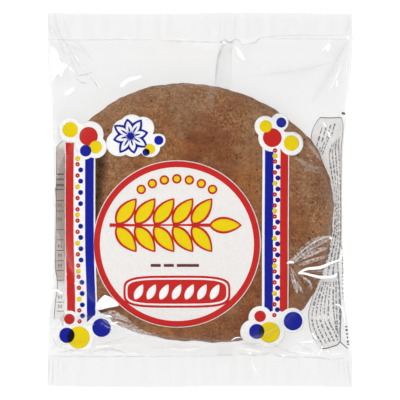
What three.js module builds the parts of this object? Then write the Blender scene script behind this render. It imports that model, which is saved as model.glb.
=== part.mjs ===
// Spice bun in a clear flow-wrapped pack, lying on its back with the printed front up.
//
// One closed solid: the outer form of the sealed film bag, pulled tight over a round flat bun.
// Millimetres, +Z up. The origin is the middle of the pack's outline, on the surface it lies on.
// +Y runs along the pack to the head seal, +X to the right of the printed front.
import * as THREE from "three";

// ---- Driving dimensions -------------------------------------------------------------------

// Film tube, laid flat
const PACK_LENGTH = 187; // cut edge to cut edge, over both end seals
const HEAD_SEAL_DEPTH = 13.5; // crimped band at the +Y end
const FOOT_SEAL_DEPTH = 15; // crimped band at the -Y end
const SEAL_HALF_WIDTH = 76.3; // half the flat tube's width, where both ends are sealed
const SEAL_THICKNESS = 0.8; // a crimped seal, also the least thickness at the side creases

// The bun fills the tube and draws its sides in to a waist
const WAIST_LEFT = 73; // from the centre line to the side crease on the left, beside the bun
const WAIST_RIGHT = 71; // the same on the right
const WAIST_FROM = 14; // distance along Y from the bun's middle where the waist starts to widen
const WAIST_TO = 76; // and where the tube is back at its full width

// Heights of the film above the surface it lies on
const HEAD_SEAL_HEIGHT = 8.5;
const FOOT_SEAL_HEIGHT = 7.5;
const SIDE_CREASE_HEIGHT = 11;
const SEAL_SAG = 1.6; // how far the cut edge of a seal hangs below its inner line
const SEAL_WAVE = 0.7; // slow wave of a seal across the pack

// Bun inside
const BUN_CENTRE = { x: -2, y: -7 };
const BUN_RADIUS = 67.4;
const BUN_HEIGHT = 24;
const BUN_EQUATOR = 9; // height of its widest line
const BUN_LOBES = [
  // how far its outline is from a true circle, by waves round the rim
  { waves: 2, rise: 2.6, at: -21 },
  { waves: 3, rise: 1.6, at: -29 },
  { waves: 4, rise: 1.3, at: 38 },
];
const DOME_FLATNESS = 3; // higher keeps the top flat further out
const BASE_FLATNESS = 10; // the same for its baked underside
const DOME_UNEVENNESS = 0.7; // slow hills and hollows over the dome

// Film between the bun and the seals
const FILM_GAP = 0.5; // film to bun
const AIR_PUFF = 0.0042; // rise for each square millimetre of free film, from the air shut in
const FIN_SEAL = { x: 12, width: 14, rise: 0.7 }; // long seam folded flat on the back

// Folds that stand up from the front film: start and end of the crest, its width and its rise
const FOLDS = {
  headLeftCorner: { from: [-73, 84], to: [-50, 57], width: 5, rise: 1.6 },
  headLeftInner: { from: [-66, 83], to: [-46, 66], width: 4.5, rise: 1.1 },
  headMiddle: { from: [13, 80], to: [6, 62], width: 4.5, rise: 1.5 },
  headRightCorner: { from: [73, 80], to: [57, 47], width: 5.5, rise: 1.4 },
  headRightAcross: { from: [70, 62], to: [30, 56], width: 6, rise: 0.9 },
  rightUpper: { from: [41, -35], to: [69, -14], width: 5, rise: 1.3 },
  rightMiddle: { from: [50, -38], to: [71, -31], width: 4.5, rise: 1.8 },
  rightLower: { from: [50, -40], to: [71, -43], width: 4.5, rise: 1.5 },
  footRight: { from: [52, -76], to: [63, -60], width: 5, rise: 1.2 },
  footLeft: { from: [-40, -75], to: [-12, -78], width: 5, rise: 1.1 },
  leftLower: { from: [-72, -50], to: [-46, -53], width: 5, rise: 1.7 },
};

// Facets
const COLUMNS = 44;
const BAG_ROWS = 44; // between the two seals
const SEAL_ROWS = 3; // in each seal
const RELAX_STEPS = 900;

// ---- Bun ----------------------------------------------------------------------------------

const degrees = (angle) => (angle * Math.PI) / 180;

// Distance from the bun's middle to its rim in one direction.
function rimRadius(angle) {
  let radius = BUN_RADIUS;
  for (const { waves, rise, at } of BUN_LOBES) {
    radius += rise * Math.cos(waves * (angle - degrees(at)));
  }
  return radius;
}

// 0 at the bun's middle, 1 at its rim, more outside.
function shareOfRim(x, y) {
  const dx = x - BUN_CENTRE.x;
  const dy = y - BUN_CENTRE.y;
  return Math.hypot(dx, dy) / rimRadius(Math.atan2(dy, dx));
}

function bunTop(x, y) {
  const share = shareOfRim(x, y);
  if (share >= 1) return -Infinity;
  const dome = Math.sqrt(1 - share ** DOME_FLATNESS);
  const hills = Math.sin(x / 17 + 1.1) * Math.cos(y / 21 - 0.6);
  return BUN_EQUATOR + (BUN_HEIGHT - BUN_EQUATOR) * dome + DOME_UNEVENNESS * hills * dome;
}

function bunUnderside(x, y) {
  const share = shareOfRim(x, y);
  if (share >= 1) return Infinity;
  return BUN_EQUATOR * (1 - Math.sqrt(1 - share ** BASE_FLATNESS));
}

// ---- Outline of the pack and the places of its rows and columns -----------------------------

const END = PACK_LENGTH / 2;
const HEAD_LINE = END - HEAD_SEAL_DEPTH;
const FOOT_LINE = -END + FOOT_SEAL_DEPTH;

// 1 where the bun draws the sides in, 0 at the seals.
function waist(y) {
  return 1 - THREE.MathUtils.smoothstep(Math.abs(y - BUN_CENTRE.y), WAIST_FROM, WAIST_TO);
}

function sideLeft(y) {
  return -THREE.MathUtils.lerp(SEAL_HALF_WIDTH, WAIST_LEFT, waist(y));
}

function sideRight(y) {
  return THREE.MathUtils.lerp(SEAL_HALF_WIDTH, WAIST_RIGHT, waist(y));
}

function rowPlaces() {
  const places = [];
  for (let i = 0; i < SEAL_ROWS; i++) places.push(-END + (FOOT_SEAL_DEPTH * i) / SEAL_ROWS);
  for (let i = 0; i <= BAG_ROWS; i++) {
    places.push(THREE.MathUtils.lerp(FOOT_LINE, HEAD_LINE, i / BAG_ROWS));
  }
  for (let i = 1; i <= SEAL_ROWS; i++) places.push(HEAD_LINE + (HEAD_SEAL_DEPTH * i) / SEAL_ROWS);
  return places;
}

const ROWS = rowPlaces();

function placeOf(row, column) {
  const y = ROWS[row];
  return [THREE.MathUtils.lerp(sideLeft(y), sideRight(y), column / COLUMNS), y];
}

// ---- Heights ------------------------------------------------------------------------------

// Middle of the film's thickness where front and back are one: at the seals and side creases.
function seamHeight(x, y) {
  const wave = SEAL_WAVE * Math.sin(x / 23 + y / 40);
  if (y >= HEAD_LINE) {
    return HEAD_SEAL_HEIGHT + wave - SEAL_SAG * ((y - HEAD_LINE) / HEAD_SEAL_DEPTH) ** 2;
  }
  if (y <= FOOT_LINE) {
    return FOOT_SEAL_HEIGHT + wave - SEAL_SAG * ((FOOT_LINE - y) / FOOT_SEAL_DEPTH) ** 2;
  }
  const along = (y - FOOT_LINE) / (HEAD_LINE - FOOT_LINE);
  const seals = THREE.MathUtils.lerp(FOOT_SEAL_HEIGHT, HEAD_SEAL_HEIGHT, along);
  return seals + wave + (SIDE_CREASE_HEIGHT - seals) * Math.sin(Math.PI * along) ** 0.7;
}

function isSeam(row, column) {
  const inSeal = ROWS[row] >= HEAD_LINE || ROWS[row] <= FOOT_LINE;
  return inSeal || column === 0 || column === COLUMNS;
}

// A film pulled tight from seam to seam: each free point moves to the mean of its neighbours
// and a little outwards for the air inside, and never into the bun.
function tightFilm(side, bunFace) {
  const height = ROWS.map((_, row) =>
    Array.from({ length: COLUMNS + 1 }, (_, column) => seamHeight(...placeOf(row, column))),
  );
  const spacing = (2 * SEAL_HALF_WIDTH) / COLUMNS;
  const puff = (AIR_PUFF * spacing ** 2) / 4;
  for (let step = 0; step < RELAX_STEPS; step++) {
    for (let row = 1; row < ROWS.length - 1; row++) {
      for (let column = 1; column < COLUMNS; column++) {
        if (isSeam(row, column)) continue;
        const around =
          height[row - 1][column] +
          height[row + 1][column] +
          height[row][column - 1] +
          height[row][column + 1];
        const pulled = around / 4 + side * puff;
        const held = bunFace(...placeOf(row, column)) + side * FILM_GAP;
        height[row][column] = side > 0 ? Math.max(pulled, held) : Math.min(pulled, held);
      }
    }
  }
  return height;
}

// Rise of the folds at a point: each is a crest that dies away to both sides and at both ends.
function foldRise(x, y) {
  let rise = 0;
  for (const fold of Object.values(FOLDS)) {
    const along = new THREE.Vector2(fold.to[0] - fold.from[0], fold.to[1] - fold.from[1]);
    const start = new THREE.Vector2(x - fold.from[0], y - fold.from[1]);
    const share = start.dot(along) / along.lengthSq();
    if (share <= 0 || share >= 1) continue;
    const aside = Math.abs(start.cross(along)) / along.length();
    const ends = Math.sin(Math.PI * share);
    rise += fold.rise * ends * Math.exp(-((aside / (fold.width / 2)) ** 2));
  }
  return rise;
}

// The long seam's flap makes the back stand out in a band, except where the bun presses it flat.
function finRise(x, y) {
  const aside = Math.abs(x - FIN_SEAL.x) / (FIN_SEAL.width / 2);
  const clearOfBun = THREE.MathUtils.smoothstep(shareOfRim(x, y), 0.92, 1.1);
  return FIN_SEAL.rise * (1 - THREE.MathUtils.smoothstep(aside, 0.75, 1.15)) * clearOfBun;
}

// ---- Solid --------------------------------------------------------------------------------

// Corner points of the front (up) and the back (down), row by row.
function bagSurfaces() {
  const up = tightFilm(1, bunTop);
  const down = tightFilm(-1, bunUnderside);
  const front = [];
  const back = [];
  for (let row = 0; row < ROWS.length; row++) {
    for (let column = 0; column <= COLUMNS; column++) {
      const [x, y] = placeOf(row, column);
      const seam = isSeam(row, column);
      const half = SEAL_THICKNESS / 2;
      const foldsHere = seam ? 0 : foldRise(x, y);
      const top = Math.max(up[row][column], seamHeight(x, y)) + half + foldsHere;
      const bottom = Math.min(down[row][column], seamHeight(x, y)) - half - finRise(x, y);
      front.push(x, y, top);
      back.push(x, y, Math.max(0, bottom));
    }
  }
  return { front, back };
}

// Both surfaces and the narrow rim round them as one closed mesh.
function bagGeometry() {
  const { front, back } = bagSurfaces();
  const across = COLUMNS + 1;
  const backStart = ROWS.length * across;
  const faces = [];
  const quad = (a, b, c, d) => faces.push(a, b, c, a, c, d);
  for (let row = 0; row < ROWS.length - 1; row++) {
    for (let column = 0; column < COLUMNS; column++) {
      const here = row * across + column;
      const above = here + across;
      quad(here, here + 1, above + 1, above);
      quad(backStart + here, backStart + above, backStart + above + 1, backStart + here + 1);
    }
  }
  const last = (ROWS.length - 1) * across;
  for (let column = 0; column < COLUMNS; column++) {
    quad(backStart + column, backStart + column + 1, column + 1, column);
    quad(last + column, last + column + 1, backStart + last + column + 1, backStart + last + column);
  }
  for (let row = 0; row < ROWS.length - 1; row++) {
    const left = row * across;
    const right = left + COLUMNS;
    quad(left, left + across, backStart + left + across, backStart + left);
    quad(backStart + right, backStart + right + across, right + across, right);
  }
  const geometry = new THREE.BufferGeometry();
  geometry.setAttribute("position", new THREE.Float32BufferAttribute([...front, ...back], 3));
  geometry.setIndex(faces);
  geometry.computeVertexNormals();
  return geometry;
}

function sealedBag() {
  const film = new THREE.MeshStandardMaterial({
    color: 0xb08a6c, // clear film, with the brown crust showing through it
    roughness: 0.15,
    metalness: 0,
  });
  const bag = new THREE.Mesh(bagGeometry(), film);
  bag.name = "sealed_bag";
  return bag;
}

const pack = new THREE.Group();
pack.add(sealedBag());

export default pack;
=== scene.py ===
"""Spice bun in a clear flow-wrapped pack that lies on its back, seen from straight above.

Sizes are in millimetres, as on a maker's drawing, and solid() turns them into metres. The frame is
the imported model's: +Y towards the head seal, +X to the right of the printed front, +Z up.
"""

import math

import bpy
import numpy as np
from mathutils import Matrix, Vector, geometry
from mathutils.bvhtree import BVHTree


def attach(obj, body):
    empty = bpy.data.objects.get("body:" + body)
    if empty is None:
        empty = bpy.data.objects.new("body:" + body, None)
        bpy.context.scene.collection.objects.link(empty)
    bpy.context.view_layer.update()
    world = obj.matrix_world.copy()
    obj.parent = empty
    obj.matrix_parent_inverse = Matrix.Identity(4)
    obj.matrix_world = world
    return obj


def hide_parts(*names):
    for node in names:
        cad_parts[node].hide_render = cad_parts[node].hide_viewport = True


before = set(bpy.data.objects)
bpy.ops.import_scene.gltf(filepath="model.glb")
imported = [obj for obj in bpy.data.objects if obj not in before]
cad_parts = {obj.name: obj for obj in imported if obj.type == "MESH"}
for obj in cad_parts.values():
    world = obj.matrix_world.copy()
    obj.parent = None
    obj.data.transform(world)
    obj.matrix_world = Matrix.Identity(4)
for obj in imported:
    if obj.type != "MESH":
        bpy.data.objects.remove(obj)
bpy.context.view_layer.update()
scene = bpy.context.scene

# ---- Studio -------------------------------------------------------------------------------
# A white table that glows a little, so that it keeps no hard shadow, a soft lamp from above, low
# strip lamps that draw highlights on the folds, and a long lens straight above the pack.

LENS, SENSOR = 400.0, 36.0
VIEW_SIDE = 200.0  # what the picture takes in at the height of the seals
SEAL_LEVEL = 8.0
TABLE_SIZE = 60000.0
TABLE_GLOW, GLOW_STRENGTH = 0.62, 1.22  # share of the table's light that is its own, and how bright
SKY_ZENITH, SKY_HORIZON = 0.05, 1.0  # the film mirrors the zenith where it lies flat
SKY_ENDS = 0.4  # share of the sky's light off the pack's two ends

SOFT_LAMPS = (  # name, place, side and power in watts
    ("overhead", (-260, 380, 1500), 1400, 23.0), ("foot_fill", (150, -700, 1100), 800, 5.6),
)
LAMP_AWAY = 1200.0  # from the pack to each lamp that draws a highlight
GLINT_LAMPS = (  # azimuth, elevation, width, height and brightness
    (-122, 20, 200, 160, 3), (-24, 44, 60, 620, 1.3), (29, 33, 90, 60, 3),
)
WHITE = (1, 1, 1, 1)


def metres(*sizes):
    return tuple(size / 1000 for size in sizes)


def material(name):
    """A new node material, its node tree and its surface socket."""
    made = bpy.data.materials.new(name)
    made.use_nodes = True
    made.node_tree.nodes.clear()
    output = made.node_tree.nodes.new("ShaderNodeOutputMaterial")
    return made, made.node_tree, output.inputs["Surface"]


def node(tree, kind, *links, **settings):
    """A node of that kind. links are (input, socket or value) pairs, and settings its properties."""
    made = tree.nodes.new(kind)
    for key, value in settings.items():
        setattr(made, key, value)
    for key, value in links:
        if isinstance(value, bpy.types.NodeSocket):
            tree.links.new(value, made.inputs[key])
        else:
            made.inputs[key].default_value = value
    return made


def maths(tree, operation, *values, clamp=False):
    """What a Math node makes of these sockets or numbers."""
    return node(tree, "ShaderNodeMath", *enumerate(values), operation=operation, use_clamp=clamp).outputs[0]


def ramp(tree, value, low, high, start=0.0, end=1.0):
    """Goes from start to end while the value goes from low to high."""
    return node(tree, "ShaderNodeMapRange", ("Value", value), ("From Min", low), ("From Max", high),
                ("To Min", start), ("To Max", end)).outputs[0]


def noise(tree, scale, detail, place=None, rough=0.5):
    """A cloudy pattern from 0 to 1, with about this many clouds to a metre."""
    at = [] if place is None else [("Vector", place)]
    return node(tree, "ShaderNodeTexNoise", ("Scale", scale), ("Detail", detail), ("Roughness", rough),
                *at).outputs["Fac"]


def mixed(tree, share, one, two):
    return node(tree, "ShaderNodeMixRGB", ("Fac", share), ("Color1", one), ("Color2", two)).outputs[0]


def put_together(tree, surface, share, one, two):
    """Ends a material with the first shader, and this share of the second."""
    both = node(tree, "ShaderNodeMixShader", ("Fac", share), (1, one.outputs[0]), (2, two.outputs[0]))
    tree.links.new(both.outputs[0], surface)


def make_table():
    finish, tree, surface = material("white_table")
    tone = mixed(tree, noise(tree, 2.0, 2.0), (0.80, 0.80, 0.80, 1), (0.82, 0.82, 0.82, 1))
    matt = node(tree, "ShaderNodeBsdfDiffuse", ("Color", tone))
    glow = node(tree, "ShaderNodeEmission", ("Color", WHITE), ("Strength", GLOW_STRENGTH))
    put_together(tree, surface, TABLE_GLOW, matt, glow)
    half = TABLE_SIZE / 2000
    corners = [(-half, -half, 0), (half, -half, 0), (half, half, 0), (-half, half, 0)]
    mesh = bpy.data.meshes.new("table")
    mesh.from_pydata(corners, [], [(0, 1, 2, 3)])
    mesh.materials.append(finish)
    table = bpy.data.objects.new("table", mesh)
    scene.collection.objects.link(table)


def lamp(name, place, width, depth, watts, mirrored=True):
    """A soft box: a rectangular lamp that shines at the pack. One that isn't mirrored only gives light."""
    light = bpy.data.lights.new(name, "AREA")
    light.shape = "RECTANGLE"
    light.size, light.size_y = metres(width, depth)
    light.energy = watts
    box = bpy.data.objects.new(name, light)
    box.location = metres(*place)
    box.rotation_euler = (-box.location).to_track_quat("-Z", "Y").to_euler()
    box.visible_glossy = mirrored
    scene.collection.objects.link(box)


def make_sky():
    """A pale surround that is dim overhead, where the camera hangs, and dim off the pack's ends."""
    world = bpy.data.worlds.new("studio")
    scene.world = world
    world.use_nodes = True
    tree = world.node_tree
    way = node(tree, "ShaderNodeTexCoord").outputs["Generated"]
    toward = node(tree, "ShaderNodeSeparateXYZ", ("Vector", way)).outputs
    low = maths(tree, "POWER", maths(tree, "SUBTRACT", 1.0, toward["Z"], clamp=True), 2.0)
    strength = ramp(tree, low, 0, 1, SKY_ZENITH, SKY_HORIZON)
    dim = ramp(tree, maths(tree, "ABSOLUTE", toward["Y"]), 0.3, 0.9, 1.0, SKY_ENDS)
    sky = tree.nodes["Background"].inputs
    tree.links.new(maths(tree, "MULTIPLY", strength, dim), sky["Strength"])
    sky["Color"].default_value = WHITE


def make_studio():
    make_table()
    make_sky()
    for name, place, side, watts in SOFT_LAMPS:
        lamp(name, place, side, side, watts, mirrored=False)
    for number, (azimuth, elevation, width, height, brightness) in enumerate(GLINT_LAMPS):
        way, rise = math.radians(azimuth), math.radians(elevation)
        place = (math.cos(way) * math.cos(rise), math.sin(way) * math.cos(rise), math.sin(rise))
        watts = brightness * math.pi * width * height / 1e6
        lamp(f"glint_{number}", [LAMP_AWAY * part for part in place], width, height, watts)
    lens = bpy.data.cameras.new("camera")
    lens.lens, lens.sensor_width = LENS, SENSOR
    camera = bpy.data.objects.new("camera", lens)
    camera.location = metres(0, 0, SEAL_LEVEL + VIEW_SIDE * LENS / SENSOR)
    scene.collection.objects.link(camera)
    scene.camera = camera
    scene.view_settings.view_transform = "Standard"


make_studio()

# ---- Bun ----------------------------------------------------------------------------------
# A round flat bun of dark spiced dough, baked on a tray: a flat underside, a round shoulder and a
# low uneven dome. Its crust is dull, finely pitted, and paler or redder in patches.

BUN_X, BUN_Y = -2.6, -7.1
BUN_RADIUS = 68.5
BUN_HEIGHT, BUN_EQUATOR, BUN_FOOT = 24.0, 9.0, 0.6
BUN_LOBES = ((2, 3.1, -18.2), (4, 1.2, 41.7), (5, 0.9, 18.7))  # waves round the rim, rise, where
DOME_POWER, BASE_POWER = 3.0, 10.0
HILL = 0.7  # slow hills and hollows of the dome
RELIEF_MIDDLE = 0.6  # the noise that leaves the crust where it is: it sinks more than it rises
BUN_FACES = 118  # along each side of the cube that the bun is blown up from


def rim_radius(angle):
    """Distance from the bun's middle to its rim in a direction."""
    waves = (rise * np.cos(count * (angle - math.radians(at))) for count, rise, at in BUN_LOBES)
    return BUN_RADIUS + sum(waves)


def dome_hills(x, y):
    return HILL * np.sin(x / 17 + 1.1) * np.cos(y / 21 - 0.6)


def solid(name, points, faces, finish):
    """A smooth mesh object from points in millimetres."""
    mesh = bpy.data.meshes.new(name)
    mesh.from_pydata(np.asarray(points, float) / 1000, [], faces)
    mesh.materials.append(finish)
    mesh.polygons.foreach_set("use_smooth", [True] * len(mesh.polygons))
    made = bpy.data.objects.new(name, mesh)
    scene.collection.objects.link(made)
    return made


def node_tree_for(name, *sizes, finish):
    """An empty Geometry Nodes tree with these named sizes and a material as its inputs."""
    tree = bpy.data.node_groups.new(name, "GeometryNodeTree")
    kinds = ["Geometry", *["Float"] * len(sizes), "Material"]
    for label, kind in zip(("Geometry", *sizes, finish), kinds):
        tree.interface.new_socket(label, in_out="INPUT", socket_type="NodeSocket" + kind)
    tree.interface.new_socket("Geometry", in_out="OUTPUT", socket_type="NodeSocketGeometry")
    return tree, tree.nodes.new("NodeGroupInput").outputs


def shifted(tree, given, shift):
    """What comes into the tree, each point moved."""
    return node(tree, "GeometryNodeSetPosition", ("Geometry", given["Geometry"]),
                ("Offset", shift.outputs[0])).outputs[0]


def end_tree(tree, geometry, finish):
    """Ends a Geometry Nodes tree, with its instances made real and in one material."""
    real = node(tree, "GeometryNodeRealizeInstances", ("Geometry", geometry))
    dressed = node(tree, "GeometryNodeSetMaterial", ("Geometry", real.outputs[0]), ("Material", finish))
    tree.links.new(dressed.outputs[0], tree.nodes.new("NodeGroupOutput").inputs["Geometry"])
    return tree


def run_tree(piece, tree, **values):
    """Puts the tree on the piece with these inputs, and makes the result its plain mesh."""
    modifier = piece.modifiers.new(tree.name, "NODES")
    modifier.node_group = tree
    for item in tree.interface.items_tree:
        if item.in_out == "INPUT" and item.name in values:
            modifier[item.identifier] = values[item.name]
    graph = bpy.context.evaluated_depsgraph_get()
    mesh = bpy.data.meshes.new_from_object(piece.evaluated_get(graph))
    piece.modifiers.clear()
    piece.data = mesh


def on_root(piece):
    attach(piece, "root")


def here(tree):
    """Places on the piece itself, in metres."""
    return node(tree, "ShaderNodeTexCoord").outputs["Object"]


def bumped(tree, height, strength, distance):
    return node(tree, "ShaderNodeBump", ("Height", height), ("Strength", strength),
                ("Distance", distance)).outputs[0]


def linear(red, green, blue):
    """A colour as it shows on a screen, 0 to 255, as the linear colour that shaders take."""
    parts = [part / 255 for part in (red, green, blue)]
    return [p / 12.92 if p <= 0.04045 else ((p + 0.055) / 1.055) ** 2.4 for p in parts] + [1.0]


def crust_material():
    """Brown patches under paler, redder and darker ones, thin winding dark and pale lines, and pits. The
    crust is paler towards its upper corners, a painted sheen, and darker in its pits, a painted shade.
    """
    finish, tree, surface = material("bun_crust")
    place = here(tree)

    def clouds(scale, detail, low, high, rough=0.55, offset=0.0):
        """A noise of its own, as patches with soft edges."""
        spot = node(tree, "ShaderNodeMapping", ("Vector", place), ("Location", (offset, offset, offset)))
        return ramp(tree, noise(tree, scale, detail, spot.outputs[0], rough), low, high)

    def winding(scale, offset, width):
        """Thin winding lines, where a noise crosses its middle."""
        swing = maths(tree, "SUBTRACT", clouds(scale, 3.0, 0, 1, 0.6, offset), 0.5)
        return ramp(tree, maths(tree, "ABSOLUTE", swing), width, width / 6)

    def times(one, two):
        return maths(tree, "MULTIPLY", one, two, clamp=True)

    def add(one, two):
        return maths(tree, "ADD", one, two, clamp=True)

    def corner(turn, share):
        """A painted sheen that grows towards the upper left or the upper right of the crust."""
        spun = node(tree, "ShaderNodeMapping", ("Vector", place), ("Rotation", (0, 0, math.radians(turn))))
        toward = node(tree, "ShaderNodeSeparateXYZ", ("Vector", spun.outputs[0])).outputs["Y"]
        return times(ramp(tree, toward, 0.018, 0.06), share)

    patches = clouds(34, 3.0, 0.40, 0.60)
    # Painted sheen: the crust is paler, and more finely flecked, towards its upper left and upper right.
    corners = maths(tree, "ADD", corner(-50, 0.6), corner(50, 0.5))
    dense = add(add(times(clouds(64, 3.0, 0.42, 0.62, offset=4.0), 0.8), 0.08), times(corners, 0.9))
    pits = node(tree, "ShaderNodeTexVoronoi", ("Vector", place), ("Scale", 420.0), ("Randomness", 1.0))
    pit = times(ramp(tree, pits.outputs["Distance"], 0.24, 0.08), clouds(260, 2.0, 0.52, 0.62, offset=5.0))
    layers = (  # how much of each there is, and its colour
        (times(clouds(150, 3.0, 0.44, 0.60, 0.6, 9.0), 0.45), (116, 66, 37)),
        (add(times(clouds(52, 4.0, 0.47, 0.66, 0.6, 3.0), 0.7), corners), (160, 123, 90)),
        (times(clouds(330, 4.0, 0.42, 0.66, 0.75, 1.0), 0.6), (100, 58, 34)),
        (times(clouds(620, 3.0, 0.56, 0.72, 0.7, 7.0), 0.75), (84, 47, 29)),
        (times(times(winding(390, 13.0, 0.03), clouds(110, 2.0, 0.45, 0.6, offset=6.0)), 0.6), (86, 48, 28)),
        (times(times(winding(460, 11.0, 0.028), dense), 0.8), (196, 150, 102)),
        (times(times(clouds(720, 4.0, 0.54, 0.72, 0.7, 2.0), dense), 0.8), (206, 168, 124)),
        # Painted shade: the crust is darker in its pits.
        (pit, (80, 43, 24)),
    )
    colour = mixed(tree, patches, linear(172, 112, 60), linear(142, 80, 46))
    for share, shade in layers:
        colour = mixed(tree, share, colour, linear(*shade))
    height = maths(tree, "SUBTRACT", clouds(900, 3.0, 0, 1, 0.65), pit)
    rough = ramp(tree, patches, 0, 1, 0.62, 0.5)
    skin = node(tree, "ShaderNodeBsdfPrincipled", ("Base Color", colour), ("Specular IOR Level", 0.25),
                ("Roughness", rough), ("Normal", bumped(tree, height, 0.8, 0.0008)))
    tree.links.new(skin.outputs[0], surface)
    return finish


def bun_form():
    """Points and faces of the smooth bun: a cube of small faces blown up to the bun's round form."""
    count = BUN_FACES
    steps = np.tan(np.linspace(-1, 1, count + 1) * math.pi / 4)
    across, along = np.meshgrid(steps, steps, indexing="ij")
    ones = np.ones_like(across)
    sides = ((across, along, ones), (along, across, -ones), (ones, across, along),
             (-ones, along, across), (along, ones, across), (across, -ones, along))
    points = np.concatenate([np.stack(side, -1).reshape(-1, 3) for side in sides])
    corner = np.arange(count + 1)[:-1, None] * (count + 1) + np.arange(count)[None, :]
    side = np.stack([corner, corner + count + 1, corner + count + 2, corner + 1], -1).reshape(-1, 4)
    faces = np.concatenate([side + n * (count + 1) ** 2 for n in range(6)])
    _, first, merged = np.unique(np.round(points, 6), axis=0, return_index=True, return_inverse=True)
    ball = points[first]
    faces = merged.reshape(-1)[faces]
    ball = ball / np.linalg.norm(ball, axis=1, keepdims=True)
    level = np.hypot(ball[:, 0], ball[:, 1])
    angle = np.arctan2(ball[:, 1], ball[:, 0])
    up = ball[:, 2] > 0
    reach = np.where(up, level ** (2 / DOME_POWER), level ** (2 / BASE_POWER))
    radius = rim_radius(angle) * reach
    x, y = BUN_X + radius * np.cos(angle), BUN_Y + radius * np.sin(angle)
    rise = (BUN_HEIGHT - BUN_EQUATOR + dome_hills(x, y)) * ball[:, 2]
    fall = (BUN_EQUATOR - BUN_FOOT) * ball[:, 2]
    return np.stack([x, y, BUN_EQUATOR + np.where(up, rise, fall)], -1), faces.tolist()


def crust_relief():
    """Geometry Nodes: moves the crust in and out by slow waves, small dents and pits."""
    tree, given = node_tree_for("crust_relief", "Wave", "Dent", "Pit", "Highest", finish="Crust")
    swings = []
    for label, scale, detail in (("Wave", 62.0, 2.0), ("Dent", 250.0, 4.0)):
        swing = maths(tree, "SUBTRACT", noise(tree, scale, detail), RELIEF_MIDDLE)
        swings.append(maths(tree, "MULTIPLY", swing, given[label]))
    rise = maths(tree, "SMOOTH_MIN", maths(tree, "ADD", *swings), given["Highest"], 0.0004)
    cells = node(tree, "ShaderNodeTexVoronoi", ("Scale", 430.0)).outputs["Distance"]
    here_only = ramp(tree, noise(tree, 260.0, 1.0), 0.5, 0.6)
    hole = maths(tree, "MULTIPLY", ramp(tree, cells, 0.28, 0.05), here_only)
    rise = maths(tree, "SUBTRACT", rise, maths(tree, "MULTIPLY", hole, given["Pit"]))
    normal = node(tree, "GeometryNodeInputNormal").outputs[0]
    shift = node(tree, "ShaderNodeVectorMath", (0, normal), ("Scale", rise), operation="SCALE")
    return end_tree(tree, shifted(tree, given, shift), given["Crust"])


crust = crust_material()
bun = solid("bun", *bun_form(), crust)
run_tree(bun, crust_relief(), Wave=0.0026, Dent=0.0014, Pit=0.0008, Highest=0.0001, Crust=crust)
on_root(bun)

# ---- Film ---------------------------------------------------------------------------------
# The bag is one tube of thin clear film, drawn round the bun and sealed flat at both ends. It is
# tight over the bun, and its slack falls into soft folds and puckers at the sides and corners.

FLAT_WIDTH = 152.5  # of the tube laid flat
SEAL_HALF = FLAT_WIDTH / 2
HEAD_LEVEL, FOOT_LEVEL = 8.5, 7.5  # height of the end seals
SEAL_TO_SEAL = 158.5
SPARE_LENGTH = 4.0  # film between the seals beyond their distance: it goes over the bun
HEAD_START = ((-76, 80.8), (-10, 80.6), (-2, 79.4), (18, 79.2), (30, 81.4), (76, 81.6))  # x, y
FOOT_START = ((-76, -77.2), (-20, -77.4), (10, -77.8), (45, -79.2), (76, -79.4))
# Each side of the pack, left and right: half its width beside the bun, and how far from the bun's
# middle it starts to widen and is full, towards the head and towards the foot.
SIDES = {-1: (73.0, (22, 86), (14, 76)), 1: (71.0, (22, 86), (32, 78))}
SIDE_LEVEL = 9.0
FILM_GAP = 0.5  # film to crust
FILM_FOOT = 0.3  # height of the film under the bun: the seam's flap is below it
FILM_LEVELS = ((24, 32, 160), (48, 62, 200), (96, 122, 220), (192, 242, 40))  # columns, rows, steps
BENDING = ((2, 0.12), (4, 0.05))  # reach in cells and stiffness
SLANT_HOLD = 0.3  # how firmly the cells' diagonals keep their length
PILLOW_ROOM, PILLOW_ROUND = 3.0, 0.6  # over the bun before the film falls, and how soon it is that high
KEEPS_SPEED, FALL = 0.9, 0.002  # each step: share of the speed kept, and the pull down in mm
SIDE_PULL, SIDE_RISE = 0.3, 0.02  # how firmly the sides are held to their line and their height
SHEETS_APART = 0.3  # between the front and the back


def eased(value, low, high):
    share = np.clip((value - low) / (high - low), 0, 1)
    return share * share * (3 - 2 * share)


def side_line(y, side):
    """Distance of the pack's side from its middle line."""
    waist, head, foot = SIDES[side]
    start, full = (np.where(y > BUN_Y, *ends) for ends in zip(head, foot))
    return SEAL_HALF + (waist - SEAL_HALF) * (1 - eased(np.abs(y - BUN_Y), start, full))


def head_line(x):
    """Where the head seal starts. The back seam's flap makes a step in it."""
    return np.interp(x, *zip(*HEAD_START))


def foot_line(x):
    return np.interp(x, *zip(*FOOT_START))


def seal_wave(x, y):
    return 0.7 * np.sin(x / 23 + y / 40)


def seal_height(x, y):
    return np.where(y > 0, HEAD_LEVEL, FOOT_LEVEL) + seal_wave(x, y)


def laid_out(columns, rows):
    """The tube before it settles: a round pillow with its ends in the seals."""
    turn = np.arange(2 * columns)[None, :]
    share = np.where(turn <= columns, turn / columns, (2 * columns - turn) / columns)
    x = np.repeat((share - 0.5) * FLAT_WIDTH, rows + 1, 0)
    along = ((np.arange(rows + 1) - 1) / (rows - 2))[:, None]
    y = foot_line(x) + along * (head_line(x) - foot_line(x))
    flat = FOOT_LEVEL + (HEAD_LEVEL - FOOT_LEVEL) * along + seal_wave(x, y)
    pillow = np.sin(math.pi * share) ** PILLOW_ROUND * np.sin(math.pi * np.clip(along, 0, 1)) ** PILLOW_ROUND
    z = flat + pillow * (np.where(turn <= columns, BUN_HEIGHT + PILLOW_ROOM, FILM_FOOT) - flat)
    waisted = x / SEAL_HALF * np.where(x < 0, side_line(y, -1), side_line(y, 1))
    points = np.stack([waisted, y, z], -1)
    for row in (0, 1, rows - 1, rows):
        points[row, :, 0] = x[row]
        points[row, :, 2] = seal_height(x[row], y[row])
    return points.reshape(-1, 3)


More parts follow.
